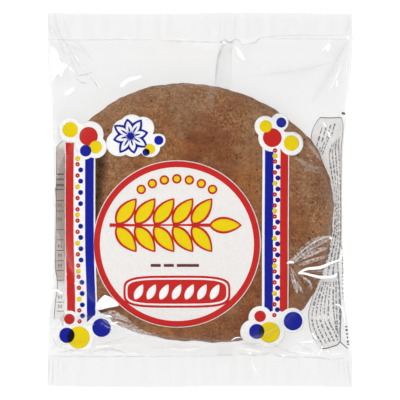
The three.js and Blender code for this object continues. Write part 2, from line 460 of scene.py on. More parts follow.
def film_links(columns, rows):
    """Pairs of points held at a distance, in groups that share no point: threads, diagonals, bending."""
    count = 2 * columns
    wide, long = FLAT_WIDTH / columns, (SEAL_TO_SEAL + SPARE_LENGTH) / (rows - 2)
    index = np.arange((rows + 1) * count).reshape(rows + 1, count)
    column, links = np.arange(count), []
    for reach, hold in ((1, 1.0), *BENDING):
        for half in (0, 1):
            some = column[(column // reach) % 2 == half]
            others = (some + reach) % count
            links.append((index[:, some].ravel(), index[:, others].ravel(), reach * wide, hold))
            some = np.arange(rows + 1 - reach)
            some = some[(some // reach) % 2 == half]
            links.append((index[some].ravel(), index[some + reach].ravel(), reach * long, hold))
    beside = np.roll(index, -1, 1)
    for half in (0, 1):
        some = np.arange(half, rows, 2)
        for one, two in ((index, beside), (beside, index)):
            links.append((one[some].ravel(), two[some + 1].ravel(), math.hypot(wide, long), SLANT_HOLD))
    return index, links


def keep_off_bun(points, free):
    """Moves points that are inside the bun out to the film's gap from its crust."""
    dx, dy, dz = points[:, 0] - BUN_X, points[:, 1] - BUN_Y, points[:, 2] - BUN_EQUATOR
    out = np.hypot(dx, dy) + 1e-9
    rim = rim_radius(np.arctan2(dy, dx)) + FILM_GAP
    up = dz > 0
    tall = np.where(up, BUN_HEIGHT - BUN_EQUATOR + FILM_GAP + dome_hills(points[:, 0], points[:, 1]),
                    BUN_EQUATOR - FILM_FOOT)
    power = np.where(up, DOME_POWER, BASE_POWER)
    depth = (dz / tall) ** 2 + (out / rim) ** power - 1
    slope_out = power * (out / rim) ** (power - 1) / rim
    slope_up = 2 * dz / tall ** 2
    steep = slope_out ** 2 + slope_up ** 2 + 1e-12
    step = np.where((depth < 0) & free, -depth / steep, 0)
    step *= np.minimum(1, 1 / np.maximum(np.abs(step) * np.sqrt(steep), 1e-9))
    points[:, 0] += step * slope_out * dx / out
    points[:, 1] += step * slope_out * dy / out
    points[:, 2] += step * slope_up


def settle(points, columns, rows, steps):
    """Lets the film fall on the bun and the table, as inextensible film that bends softly."""
    index, links = film_links(columns, rows)
    weight = np.ones(index.shape)
    weight[:2] = weight[-2:] = 0
    weight = weight.ravel()
    free = weight > 0
    left, right = index[2:-2, 0], index[2:-2, columns]
    front = index[2:-2, 1:columns].ravel()
    back = index[2:-2, (2 * columns - np.arange(1, columns))].ravel()
    before = points.copy()
    for _ in range(steps):
        speed = (points - before) * KEEPS_SPEED
        before = points.copy()
        points = points + speed * weight[:, None]
        points[:, 2] -= FALL * weight
        for side, sign in ((left, -1), (right, 1)):
            points[side, 0] += SIDE_PULL * (sign * side_line(points[side, 1], sign) - points[side, 0])
            points[side, 2] += SIDE_RISE * (SIDE_LEVEL - points[side, 2])
        for one, two, length, hold in links:
            start, end = points[one], points[two]
            gap = end - start
            far = np.sqrt((gap * gap).sum(1)) + 1e-9
            pull = hold * (far - length) / (far * (weight[one] + weight[two] + 1e-9))
            points[one] = start + gap * (pull * weight[one])[:, None]
            points[two] = end - gap * (pull * weight[two])[:, None]
        overlap = np.maximum(SHEETS_APART - (points[front, 2] - points[back, 2]), 0) / 2
        points[front, 2] += overlap
        points[back, 2] -= overlap
        keep_off_bun(points, free)
        points[:, 2] = np.where(free, np.maximum(points[:, 2], FILM_FOOT), points[:, 2])
    return points


def finer(points, columns, rows):
    """The same film with twice the columns and rows, on smooth curves between its points."""
    grid = points.reshape(rows + 1, 2 * columns, 3)
    between = (9 * (grid + np.roll(grid, -1, 1)) - (np.roll(grid, 1, 1) + np.roll(grid, -2, 1))) / 16
    wide = np.empty((rows + 1, 4 * columns, 3))
    wide[:, 0::2], wide[:, 1::2] = grid, between
    full = np.empty((2 * rows - 1, 4 * columns, 3))
    full[1:-1:2] = wide[1:-1]
    full[2:-2:2] = (9 * (wide[1:-2] + wide[2:-1]) - (wide[:-3] + wide[3:])) / 16
    full[0], full[-1] = (wide[0] + wide[1]) / 2, (wide[-1] + wide[-2]) / 2
    return full.reshape(-1, 3)


def settled_film():
    """The film, settled coarse and then finer, and how many columns each of its sheets has."""
    draw = np.random.default_rng(5)
    points, last = None, None
    for columns, rows, steps in FILM_LEVELS:
        if points is None:
            points = laid_out(columns, rows)
            points[4 * columns:-4 * columns] += draw.normal(0, 0.4, (points.shape[0] - 8 * columns, 3))
        else:
            points = finer(points, *last)
        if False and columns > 100:
            steps = 4
        points = settle(points, columns, rows, steps)
        last = (columns, rows)
    return points.reshape(last[1] + 1, 2 * last[0], 3), last[0]


film_grid, film_columns = settled_film()

# The film is drawn finer on the front than on the back, with its creases pressed into it.
FRONT_COLUMNS, BACK_COLUMNS, SHOWN_ROWS = 250, 80, 300
PICTURE = 400  # units across the picture, in which places on the pack's front are read


def between(values, places, axis):
    """Values of a grid at fractional places along an axis, on smooth curves. Columns run round the tube."""
    low = np.floor(places).astype(int)
    t = places - low
    weights = (-t / 2 + t ** 2 - t ** 3 / 2, 1 - 5 * t ** 2 / 2 + 3 * t ** 3 / 2,
               t / 2 + 2 * t ** 2 - 3 * t ** 3 / 2, -t ** 2 / 2 + t ** 3 / 2)
    total = 0
    for step, weight in zip((-1, 0, 1, 2), weights):
        at = low + step
        at = at % values.shape[1] if axis else np.clip(at, 0, values.shape[0] - 1)
        total = total + np.take(values, at, axis) * (weight[None, :, None] if axis else weight[:, None, None])
    return total


def film_normals(grid):
    across = np.roll(grid, -1, 1) - np.roll(grid, 1, 1)
    normal = np.cross(across, np.gradient(grid, axis=0))
    return normal / (np.linalg.norm(normal, axis=2, keepdims=True) + 1e-12)


def from_view(x, y):
    """A place on the pack from its place in the picture."""
    return (x - PICTURE / 2) * VIEW_SIDE / PICTURE, (PICTURE / 2 - y) * VIEW_SIDE / PICTURE


def near_path(x, y, path):
    """Distance from a path, how far along it the nearest point is, 0 to 1, and on which side."""
    path = np.array([from_view(*place) for place in path])
    lengths = np.hypot(*(path[1:] - path[:-1]).T)
    begun = np.r_[0, np.cumsum(lengths)]
    best, share, side = np.full(x.shape, 1e9), np.zeros(x.shape), np.ones(x.shape)
    for number, (start, end) in enumerate(zip(path[:-1], path[1:])):
        run = end - start
        t = np.clip(((x - start[0]) * run[0] + (y - start[1]) * run[1]) / (run @ run), 0, 1)
        dx, dy = x - start[0] - t * run[0], y - start[1] - t * run[1]
        far = np.hypot(dx, dy)
        closer = far < best
        best = np.where(closer, far, best)
        share = np.where(closer, (begun[number] + t * lengths[number]) / begun[-1], share)
        side = np.where(closer, np.sign(run[0] * dy - run[1] * dx), side)
    return best, share, side


# Each crease: its path in the picture, its height and half width in mm, and how it fades along
# its length: 0 at both ends, 1 only at its far end, -1 only at its near end.
CREASES = (
    (((51, 14), (56, 30), (64, 42), (76, 62), (88, 80)), 0.6, 0.9, 0),
    (((54, 14), (60, 26), (68, 40), (82, 60), (94, 74)), 0.4, 0.7, 0),
    (((47, 20), (50, 36), (54, 46)), 0.5, 0.8, 0),
    (((68, 38), (82, 47), (92, 60)), 0.4, 0.8, 0),
    (((78, 76), (88, 75), (95, 71)), -0.5, 0.6, 0),
    (((90, 77), (97, 86), (102, 92)), -0.5, 0.6, 0),
    (((75, 77), (82, 83), (90, 84)), 0.4, 0.7, 0),
    (((60, 44), (72, 62), (78, 76)), -0.6, 0.9, 0),
    (((348, 32), (343, 48), (334, 66), (326, 84), (312, 103)), 0.5, 2.8, 0),
    (((345, 20), (346, 36), (347, 60)), 0.4, 0.9, 0),
    (((262, 75), (300, 71), (330, 62)), -0.5, 1.8, 0),
    (((215, 82), (217, 62), (224, 46)), -0.35, 0.8, -1),
    (((234, 41), (240, 45), (247, 47), (256, 40)), 0.5, 0.9, 0),
    (((300, 273), (312, 268), (326, 266), (342, 260)), 1.0, 0.7, 1),
    (((300, 274), (315, 277), (330, 278), (342, 271)), 1.1, 0.75, 1),
    (((289, 262), (300, 252), (314, 243), (331, 237)), 0.55, 0.8, 0),
    (((289, 264), (296, 278), (303, 294)), -0.35, 0.8, 0),
    (((292, 262), (302, 272), (312, 286)), -0.4, 0.8, 0),
    (((295, 284), (299, 291), (302, 298)), 0.35, 0.5, 0),
    (((312, 280), (318, 286), (322, 292)), 0.35, 0.5, 0),
    (((96, 303), (106, 304), (120, 306)), -0.6, 0.7, 0),
    (((97, 311), (108, 313), (118, 310)), 0.45, 0.7, 0),
    (((100, 318), (108, 322), (116, 324)), 0.4, 0.6, 0),
    (((96, 303), (104, 294), (112, 296)), 0.5, 0.9, 0),
    (((90, 339), (110, 343), (140, 341)), 0.4, 1.2, 0),
    (((95, 350), (120, 349), (150, 352)), -0.4, 1.2, 0),
    (((52, 286), (58, 292), (66, 294)), 0.7, 0.8, 0),
    (((48, 330), (52, 310), (56, 296)), 0.7, 0.9, 0),
    (((50, 352), (58, 342), (64, 330)), 0.6, 0.9, 0),
    (((342, 255), (345, 290), (347, 330), (349, 352)), 0.5, 0.9, 0),
    (((322, 350), (332, 347), (341, 341), (349, 344)), 0.6, 0.9, 0),
)


def creased(grid):
    """The film with its creases, and how strongly each of its points is creased, for the painted shade along
    them.
    """
    out = film_normals(grid)
    x, y = grid[..., 0], grid[..., 1]
    front = np.zeros(x.shape, bool)
    front[:, :FRONT_COLUMNS + 1] = True
    push, mark = np.zeros(x.shape), np.zeros(x.shape)
    for path, height, half_width, fade in CREASES:
        far, share, _ = near_path(x, y, path)
        taper = {0: np.sin(math.pi * np.clip(share, 0.02, 0.98)) ** 0.7, 1: np.clip(share * 4, 0, 1),
                 -1: np.clip((1 - share) * 4, 0, 1)}[fade]
        form = np.exp(-far / half_width) * taper * front
        push += height * form
        mark = np.maximum(mark, form * min(1.0, abs(height)))
    over_bun = np.hypot(x - BUN_X, y - BUN_Y) < rim_radius(np.arctan2(y - BUN_Y, x - BUN_X))
    push = np.where(over_bun, np.maximum(push, -0.1), push)
    return grid + out * push[..., None], mark


def drawn_film():
    grid = between(film_grid[1:-1], np.linspace(0, film_grid.shape[0] - 3, SHOWN_ROWS), 0)
    half = film_columns
    front, back = np.linspace(0, half, FRONT_COLUMNS + 1), np.linspace(half, 2 * half, BACK_COLUMNS + 1)
    return creased(between(grid, np.r_[front, back[1:-1]], 1))


shown, crease_shade_marks = drawn_film()


def attribute(tree, name):
    return node(tree, "ShaderNodeAttribute", attribute_name=name).outputs["Fac"]


def see_through(tree, tone):
    return node(tree, "ShaderNodeBsdfTransparent", ("Color", tone))


def mirror(tree, roughness, *normal):
    return node(tree, "ShaderNodeBsdfGlossy", ("Color", WHITE), ("Roughness", roughness), *normal)


def film_material(name, lets_through, mirrors, roughness, bands=0.0):
    """Clear film: what it lets through, and a mirror that grows towards the edge of sight."""
    finish, tree, surface = material(name)
    place = here(tree)
    bump = bumped(tree, noise(tree, 160.0, 2.0, place), 0.2, 0.0006)
    facing = node(tree, "ShaderNodeLayerWeight", ("Blend", 0.5), ("Normal", bump)).outputs["Facing"]
    share = ramp(tree, maths(tree, "POWER", facing, 4.0), 0, 1, mirrors, 0.9)
    # Painted shade: the film lets a little less through along its creases.
    shade = ramp(tree, attribute(tree, "crease_shade"), 0, 0.8, lets_through, lets_through * 0.92)
    if bands:
        along = node(tree, "ShaderNodeMapping", ("Vector", place), ("Scale", (1, 0.05, 1))).outputs[0]
        tone = ramp(tree, noise(tree, 330.0, 3.0, along), 0.35, 0.65, 1 - bands, 1.0)
        shade = maths(tree, "MULTIPLY", shade, tone)
    put_together(tree, surface, share, see_through(tree, shade), mirror(tree, roughness, ("Normal", bump)))
    return finish


clear_film = film_material("clear_film", 0.965, 0.06, 0.1)


def quads(index):
    """Faces between the neighbours in a grid of point numbers."""
    return np.stack([index[:-1, :-1], index[:-1, 1:], index[1:, 1:], index[1:, :-1]], -1).reshape(-1, 4)


def mark_points(piece, name, values):
    """Gives the piece's points a named value, which its material reads."""
    piece.data.attributes.new(name, "FLOAT", "POINT").data.foreach_set("value", values)


tube_index = np.arange(shown.shape[0] * shown.shape[1]).reshape(shown.shape[:2])
tube_faces = quads(np.c_[tube_index, tube_index[:, :1]]).tolist()
film_tree = BVHTree.FromPolygons(shown.reshape(-1, 3).tolist(), tube_faces)


def on_film(places, depth, back=False):
    """Points of the film's front above these x, y, or of its back below them, moved depth into the bag."""
    start, way, spare = (-9.0, 1, FILM_FOOT) if back else (90.0, -1, SIDE_LEVEL)
    points = []
    for x, y in places:
        hit, normal, _, _ = film_tree.ray_cast((x, y, start), (0, 0, way))
        if hit is None:
            hit, normal, _, _ = film_tree.find_nearest((x, y, spare))
        points.append(hit - normal * (depth if (normal.z > 0) != back else -depth))
    return np.array(points)


film = solid("film_tube", shown.reshape(-1, 3), tube_faces, clear_film)
# How strongly each point is creased, for the film's painted shade.
mark_points(film, "crease_shade", crease_shade_marks.ravel())
on_root(film)
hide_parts("sealed_bag")

# ---- End seals ----------------------------------------------------------------------------
# At each end both sheets of film are pressed together between hot jaws, which leave fine ribs
# along the pack, and are cut off straight. The strips hang a little towards their cut edges.

HEAD_CUT, FOOT_CUT = 93.5, -93.5
SEAL_SAG, SEAL_CURL = 1.6, 0.3  # how far the strips hang, and wave, at their cut edges
CUT_WAVE = 0.25
RIB_PITCH, RIB_HEIGHT = 1.5, 0.09
SEAL_THICKNESS = 0.2
SEAL_STEP = 0.25  # between the strips' columns


def crimp():
    """Geometry Nodes: fine ribs along Y, by raising and lowering the strip in turns across X."""
    tree, given = node_tree_for("crimp", "Pitch", "Height", finish="Film")
    place = node(tree, "GeometryNodeInputPosition").outputs[0]
    across = node(tree, "ShaderNodeSeparateXYZ", ("Vector", place)).outputs["X"]
    turns = maths(tree, "DIVIDE", across, given["Pitch"])
    wave = maths(tree, "SINE", maths(tree, "MULTIPLY", turns, 2 * math.pi))
    pressed = maths(tree, "MULTIPLY", wave, noise(tree, 60.0, 1.0))
    shift = node(tree, "ShaderNodeCombineXYZ", ("Z", maths(tree, "MULTIPLY", pressed, given["Height"])))
    return end_tree(tree, shifted(tree, given, shift), given["Film"])


def sheet(grid):
    """Points and faces of an open sheet, from a grid of points that is rows x columns x 3."""
    rows, columns, _ = grid.shape
    return grid.reshape(-1, 3), quads(np.arange(rows * columns).reshape(rows, columns)).tolist()


def slab(top, bottom):
    """Points and faces of a closed sheet between two grids of points."""
    rows, columns, _ = top.shape
    index = np.arange(rows * columns).reshape(rows, columns)
    below = index + rows * columns
    around = np.r_[index[0, :-1], index[:-1, -1], index[-1, :0:-1], index[:0:-1, 0]]
    after = np.roll(around, -1)
    rim = np.stack([around, around + rows * columns, after + rows * columns, after], -1)
    faces = np.concatenate([quads(index), quads(below)[:, ::-1], rim])
    return np.concatenate([top.reshape(-1, 3), bottom.reshape(-1, 3)]), faces.tolist()


def cut_edge(x, cut):
    return cut + CUT_WAVE * np.sin(x / 19)


def seal_rise(x, start, share, cut):
    """Height of an end seal's middle, this share of the way from where it starts to its cut edge."""
    return seal_height(x, start) - SEAL_SAG * share ** 2 + SEAL_CURL * share * np.sin(x / 11 + cut)


def end_seal(name, line, cut, low, high, lift, finish, rows=12):
    """A strip of the seal between two x, raised by the film that is folded under it."""
    columns = max(8, int((high - low) / SEAL_STEP))
    x = np.linspace(low, high, columns + 1)[None, :]
    share = np.linspace(0, 1, rows + 1)[:, None]
    y = line(x) + (cut_edge(x, cut) - line(x)) * share
    z = seal_rise(x, line(x), share, cut) + lift
    grid = np.stack([x + 0 * share, y, z], -1)
    if cut < 0:
        grid = grid[::-1]
    half = np.array([0, 0, SEAL_THICKNESS / 2])
    piece = solid(name, *(sheet(grid + half) if lift else slab(grid + half, grid - half)), finish)
    run_tree(piece, crimp(), Pitch=RIB_PITCH / 1000, Height=RIB_HEIGHT / 1000, Film=finish)
    on_root(piece)


def seal_level(x, y):
    """Height of the middle of an end seal at a place."""
    start, cut = np.where(y > 0, head_line(x), foot_line(x)), np.where(y > 0, HEAD_CUT, FOOT_CUT)
    return seal_rise(x, start, (y - start) / (cut_edge(x, cut) - start), cut)


LAYER_LIFT = 0.32
LAYERS = {  # from x to x, and how far it is raised
    "": (-SEAL_HALF, SEAL_HALF, 0.0), "_flap": (9.6, 18.4, LAYER_LIFT),
    "_left_fold": (-SEAL_HALF, -72.2, LAYER_LIFT), "_right_fold": (73.8, SEAL_HALF, LAYER_LIFT),
}
seal_film = film_material("sealed_film", 0.965, 0.05, 0.22, bands=0.012)
layer_film = film_material("layered_film", 0.999, 0.002, 0.25)
for layer, (low, high, lift) in LAYERS.items():
    finish = layer_film if layer else seal_film
    end_seal("head_seal" + layer, head_line, HEAD_CUT, low, high, lift, finish)
    end_seal("foot_seal" + layer, foot_line, FOOT_CUT, low, high, lift, finish)

# ---- Back seam ----------------------------------------------------------------------------
# The tube's two edges are sealed face to face along the back, and the flap that they make is
# folded flat against it. It shows through the bag between the bun and the seals.

FLAP_WIDTH, FLAP_THICKNESS, FLAP_GAP = 7.0, 0.1, 0.1
FLAP_PATH = ((-95, 12.5), (-70, 12.0), (0, 12.0), (58, 11.0), (70, 11.8), (80, 14.0), (95, 14.3))  # y, x


def make_flap():
    y = np.linspace(-77.5, 79.0, 240)
    middle = np.interp(y, *zip(*FLAP_PATH))
    share = np.linspace(-0.5, 0.5, 9)
    wave = 0.35 * np.sin(y / 7.0) + 0.25 * np.sin(y / 3.1 + 1)
    x = middle[:, None] + share[None, :] * FLAP_WIDTH + (share[None, :] > 0.4) * wave[:, None]
    places = np.stack([x, np.repeat(y[:, None], x.shape[1], 1)], -1).reshape(-1, 2)
    gaps = (FLAP_GAP, FLAP_GAP + FLAP_THICKNESS)
    inner, outer = (on_film(places, -gap, back=True).reshape(*x.shape, 3) for gap in gaps)
    on_root(solid("back_seam_flap", *slab(inner, outer), seam_film))


seam_film = film_material("seam_film", 0.994, 0.006, 0.2)
make_flap()

# ---- Print --------------------------------------------------------------------------------
# Opaque inks on the inside of the film, white under the colours: a ringed disc with an ear of
# grain and a ribbon of leaves, two striped borders with dots, and groups of round spots.

INK_DEPTH, INK_STEP, INK_THICKNESS = 0.09, 0.045, 0.02
INK_COLOURS = {
    "white": (252, 252, 251), "cream": (243, 240, 237), "red": (205, 37, 34), "yellow": (240, 214, 0),
    "blue": (14, 26, 158), "night": (12, 14, 30), "brown": (110, 50, 50),
}
EDGE_ROOM = 0.3  # from a shape's outline to the film's points inside it
THIN_INK = 0.93  # how bright the ink is where it is thin
inks = {ink: [] for ink in INK_COLOURS}  # each ink's shapes, as points and faces
front_mesh = shown[:, :FRONT_COLUMNS + 1, :2].reshape(-1, 2)


def ink_material(name, colour):
    finish, tree, surface = material(name)
    cloud = noise(tree, 900.0, 2.0, here(tree))
    full = linear(*colour)
    thin = [THIN_INK * part for part in full[:3]] + [1.0]
    tone = mixed(tree, ramp(tree, cloud, 0.3, 0.7), thin, full)
    skin = node(tree, "ShaderNodeBsdfPrincipled", ("Base Color", tone), ("Specular IOR Level", 0.15),
                ("Roughness", 0.5), ("Normal", bumped(tree, cloud, 0.1, 0.0001)))
    tree.links.new(skin.outputs[0], surface)
    return finish


def inside(points, outline):
    """Which points are inside a closed outline, and how far they are from it."""
    start, end = outline, np.roll(outline, -1, 0)
    px, py = points[:, 0, None], points[:, 1, None]
    crosses = (start[:, 1] > py) != (end[:, 1] > py)
    run = np.where(end[:, 1] == start[:, 1], 1e-9, end[:, 1] - start[:, 1])
    left = px < start[:, 0] + (py - start[:, 1]) / run * (end[:, 0] - start[:, 0])
    edge = end - start
    along = np.clip(((px - start[:, 0]) * edge[:, 0] + (py - start[:, 1]) * edge[:, 1])
                    / np.maximum((edge ** 2).sum(1), 1e-12), 0, 1)
    far = np.hypot(px - start[:, 0] - along * edge[:, 0], py - start[:, 1] - along * edge[:, 1]).min(1)
    return (crosses & left).sum(1) % 2 == 1, far


def filled(outlines):
    """Flat triangles inside the first outline and outside the rest, as fine as the film's own mesh."""
    outer = outlines[0]
    near = ((front_mesh > outer.min(0)) & (front_mesh < outer.max(0))).all(1)
    inner = front_mesh[near]
    for number, outline in enumerate(outlines):
        within, far = inside(inner, outline)
        inner = inner[(within == (number == 0)) & (far > EDGE_ROOM)]
    points, edges = [], []
    for outline in outlines:
        first = len(points)
        points += outline.tolist()
        edges += [(first + n, first + (n + 1) % len(outline)) for n in range(len(outline))]
    points += inner.tolist()
    flat, _, faces, *_ = geometry.delaunay_2d_cdt([Vector(p) for p in points], edges, [], 1, 1e-5)
    flat = np.array([p[:] for p in flat])
    middles = np.array([flat[list(face)].mean(0) for face in faces])
    kept = inside(middles, outer)[0]
    for hole in outlines[1:]:
        kept &= ~inside(middles, hole)[0]
    return flat, [tuple(face) for face, keep in zip(faces, kept) if keep]


def leaf(flat, faces, level, back=False):
    """Points and faces of a thin closed leaf of ink against the inside of the film's front or back."""
    near = INK_DEPTH + INK_STEP * level
    far = near + INK_THICKNESS
    flat = np.asarray(flat)
    used = sorted({n for face in faces for n in face})
    place = {old: new for new, old in enumerate(used)}
    flat, faces = flat[used], [tuple(place[n] for n in face) for face in faces]
    turns = [np.cross(flat[f[1]] - flat[f[0]], flat[f[2]] - flat[f[0]]) > 0 for f in faces]
    faces = [f if turn else f[::-1] for f, turn in zip(faces, turns)]
    edges = {(f[n], f[(n + 1) % len(f)]) for f in faces for n in range(len(f))}
    rim = [edge for edge in edges if edge[::-1] not in edges]
    count = len(flat)
    points = np.concatenate([on_film(flat, depth, back) for depth in ((far, near) if back else (near, far))])
    under = [tuple(n + count for n in f[::-1]) for f in faces]
    side = [(b, a, a + count, b + count) for a, b in sorted(rim)]
    return points, faces + under + side


def put_ink(ink, level, *outlines):
    inks[ink].append(leaf(*filled([np.asarray(outline, float) for outline in outlines]), level))


def joined(parts):
    """One list of points and one of faces from several."""
    points, faces, count = [], [], 0
    for some, round_them in parts:
        points.append(some)
        faces += [tuple(n + count for n in face) for face in round_them]
        count += len(some)
    return np.concatenate(points), faces


def circle(x, y, radius, count=None):
    count = count or int(max(24, 8 * radius))
    turn = np.arange(count) * 2 * math.pi / count
    return np.stack([x + radius * np.cos(turn), y + radius * np.sin(turn)], -1)


def turned(outline, angle, x=0.0, y=0.0):
    c, s = math.cos(math.radians(angle)), math.sin(math.radians(angle))
    spun = [x + outline[:, 0] * c - outline[:, 1] * s, y + outline[:, 0] * s + outline[:, 1] * c]
    return np.stack(spun, -1)


def cloud_of(circles, count=220):
    """The outline round several overlapping circles, as seen from their middle."""
    circles = np.asarray(circles, float)
    middle = circles[:, :2].mean(0)
    turn = np.arange(count) * 2 * math.pi / count
    way = np.stack([np.cos(turn), np.sin(turn)], -1)
    to = circles[:, :2] - middle
    along = way @ to.T
    off = along ** 2 - (to ** 2).sum(1) + circles[:, 2] ** 2
    reach = np.where(off > 0, along + np.sqrt(np.maximum(off, 0)), 0).max(1)
    return middle + way * reach[:, None]


def grain(length, width, count=28):
    """A pointed oval that starts at the origin and lies along +X."""
    share = np.arange(count) / count * 2
    x = np.where(share < 1, share, 2 - share)
    half = width / 2 * np.sin(math.pi * x ** 0.85) ** 0.8
    return np.stack([x * length, np.where(share < 1, -half, half)], -1)


def evenly(outline, step=0.9):
    """The same closed outline with points at even steps."""
    ring = np.concatenate([outline, outline[:1]])
    along = np.r_[0, np.cumsum(np.hypot(*np.diff(ring, axis=0).T))]
    at = np.arange(int(along[-1] / step)) * along[-1] / int(along[-1] / step)
    return np.stack([np.interp(at, along, ring[:, 0]), np.interp(at, along, ring[:, 1])], -1)


def panel(x, y, half_width, half_height):
    """A bowed rectangle with round corners."""
    turn = np.linspace(0, 2 * math.pi, 720, endpoint=False)
    c, s = np.cos(turn), np.sin(turn)
    return evenly(np.stack([x + half_width * np.sign(c) * np.abs(c) ** 0.5,
                            y + half_height * np.sign(s) * np.abs(s) ** 0.5], -1))


def strip(left, right, bottom, top, drift, steps=60):
    """A band along the pack between two x that drifts sideways with y."""
    y = np.linspace(bottom, top, steps)
    return np.concatenate([np.stack([left + drift(y), y], -1)[::-1], np.stack([right + drift(y), y], -1)])


def as_seen(x, y, radius):
    """A circle on the pack from its place and radius in the picture."""
    return (*from_view(x, y), radius * VIEW_SIDE / PICTURE)


def spot(ink, level, *seen):
    put_ink(ink, level, circle(*as_seen(*seen)))


# The ringed disc.
DISC_X, DISC_Y = from_view(177, 244)
RING_OUT, RING_IN, RING_MARGIN = 41.3, 38.3, 0.45
put_ink("cream", 5, circle(DISC_X, DISC_Y, RING_OUT + RING_MARGIN))
put_ink("red", 4, circle(DISC_X, DISC_Y, RING_OUT), circle(DISC_X, DISC_Y, RING_IN))

# A ribbon in its foot, with a row of slanted leaves.
RIBBON_X, RIBBON_Y = DISC_X, DISC_Y - 23.6
RIBBON_WIDE, RIBBON_HIGH = 26.6, 8.0  # half its size
LEAF_PITCH, LEAF_TURN = 6.3, 62
put_ink("red", 2, panel(RIBBON_X, RIBBON_Y, RIBBON_WIDE, RIBBON_HIGH))
put_ink("white", 1, panel(RIBBON_X, RIBBON_Y, RIBBON_WIDE - 1.1, RIBBON_HIGH - 1.1),
        panel(RIBBON_X, RIBBON_Y, RIBBON_WIDE - 2.0, RIBBON_HIGH - 2.0))
for number in range(-3, 4):
    foot = (RIBBON_X + number * LEAF_PITCH - 2.0, RIBBON_Y - 3.9)
    put_ink("white", 1, turned(grain(8.6, 3.9), LEAF_TURN, *foot))

# An ear of grain above it: yellow grains outlined in red, in pairs along a stem.
EAR_X, EAR_Y = DISC_X - 31.5, DISC_Y + 9.5
EAR_PITCH, EAR_PAIRS = 9.4, 5
GRAIN_LENGTH, GRAIN_WIDTH, GRAIN_LINE = 14.2, 6.1, 1.15
STEM_LONG, STEM_HALF = 50.0, 0.9
put_ink("red", 3, [(EAR_X - 2, EAR_Y - STEM_HALF), (EAR_X + STEM_LONG, EAR_Y - STEM_HALF),
                   (EAR_X + STEM_LONG, EAR_Y + STEM_HALF), (EAR_X - 2, EAR_Y + STEM_HALF)])
places = [(EAR_X + 2.0 + EAR_PITCH * pair, EAR_Y + side * 1.3, side * 52.0)
          for pair in range(EAR_PAIRS) for side in (-1, 1)]
for x, y, angle in [*places, (EAR_X + STEM_LONG - 1.5, EAR_Y, 0.0)]:
    start = turned(np.array([[-GRAIN_LINE, 0.0]]), angle, x, y)[0]
    outer = grain(GRAIN_LENGTH + 2 * GRAIN_LINE, GRAIN_WIDTH + 2 * GRAIN_LINE)
    put_ink("red", 2, turned(outer, angle, *start))
    put_ink("yellow", 1, turned(grain(GRAIN_LENGTH, GRAIN_WIDTH), angle, x, y))

# Small ringed dots on an arc inside the top of the ring, and thin dashes between ear and ribbon.
DOT_ARC, DOT_TURN = 32.5, 11.0
for number in range(-3, 4):
    turn = math.radians(90 + DOT_TURN * number)
    x, y = DISC_X + DOT_ARC * math.cos(turn), DISC_Y + DOT_ARC * math.sin(turn)
    put_ink("red", 2, circle(x, y, 2.4))
    put_ink("yellow", 1, circle(x, y, 1.5))
for left, right in ((-13.0, -8.0), (-6.5, -1.5), (0.0, 11.0)):
    left, right, low, high = DISC_X + left, DISC_X + right, DISC_Y - 11.2, DISC_Y - 9.8
    put_ink("brown", 2, [(left, low), (right, low), (right, high), (left, high)])

# The small cloud with a star of seed pods, outlined in blue, above the disc.
CLOUD = ((119.5, 143.5, 13), (124, 131, 11.5), (132, 127, 12.4), (143, 128.5, 11.5), (159, 140.6, 6.8),
         (150, 147, 10.5), (133, 146, 11))
put_ink("white", 4, cloud_of([as_seen(*each) for each in CLOUD]))
STAR = from_view(131, 136.5)
STAR_PODS, STAR_TURN = 8, 12
for pod in range(STAR_PODS):
    angle = 360 / STAR_PODS * pod + STAR_TURN
    length, level = (10.0, 2) if pod % 2 else (9.0, 3)
    start = turned(np.array([[1.6, 0.0]]), angle, *STAR)[0]
    put_ink("blue", level, turned(grain(length, 5.7), angle, *STAR))
    put_ink("white", 1, turned(grain(length - 3.0, 3.1), angle, *start))
    put_ink("blue", 0, turned(grain(length - 5.6, 0.9), angle, *start))

# The striped borders: a red and a blue stripe with a dotted white band between them.
DOT_ORDER = ("yellow", "red", "blue", "red", "blue", "yellow", "blue", "red", "blue", "red")


def left_drift(y):
    return 0.75 * eased(-y, 17, 60)


def right_drift(y):
    return -0.3 * eased(-y, -30, 20)


LEFT_FOOT, LEFT_HEAD = from_view(0, 325)[1], from_view(0, 142)[1]
RIGHT_FOOT, RIGHT_HEAD = from_view(0, 318)[1], from_view(0, 146)[1]
for left, right, foot, head, drift, bands in (
        (64.8, 95.8, LEFT_FOOT, LEFT_HEAD, left_drift, (("red", 65.8, 73.9), ("blue", 85.5, 94.2))),
        (262.2, 288.9, RIGHT_FOOT, RIGHT_HEAD, right_drift, (("blue", 264.7, 273.2), ("red", 280.1, 287.9)))):
    put_ink("white", 5, strip(from_view(left, 0)[0], from_view(right, 0)[0], foot, head, drift))
    for ink, low, high in bands:
        put_ink(ink, 4, strip(from_view(low, 0)[0], from_view(high, 0)[0], foot, head, drift))


def dot_row():
    """Geometry Nodes: a flat round dot on each point that comes in."""
    tree, given = node_tree_for("dot_row", "Radius", finish="Ink")
    dot = node(tree, "GeometryNodeMeshCircle", ("Vertices", 20), ("Radius", given["Radius"]),
               fill_type="TRIANGLE_FAN")
    on_each = node(tree, "GeometryNodeInstanceOnPoints", ("Points", given["Geometry"]),
                   ("Instance", dot.outputs[0]))
    return end_tree(tree, on_each.outputs[0], given["Ink"])


ink_finish = {ink: ink_material("ink_" + ink, colour) for ink, colour in INK_COLOURS.items()}
dots = dot_row()


def put_dots(ink, level, places, radius):
    """A row of dots of one ink at these places on the pack's front."""
    row = solid("dots", [(x, y, 0) for x, y in places], [], ink_finish[ink])
    run_tree(row, dots, Radius=radius / 1000, Ink=ink_finish[ink])
    flat = np.array([v.co[:2] for v in row.data.vertices]) * 1000
    faces = [tuple(face.vertices) for face in row.data.polygons]
    bpy.data.objects.remove(row)
    inks[ink].append(leaf(flat, faces, level))


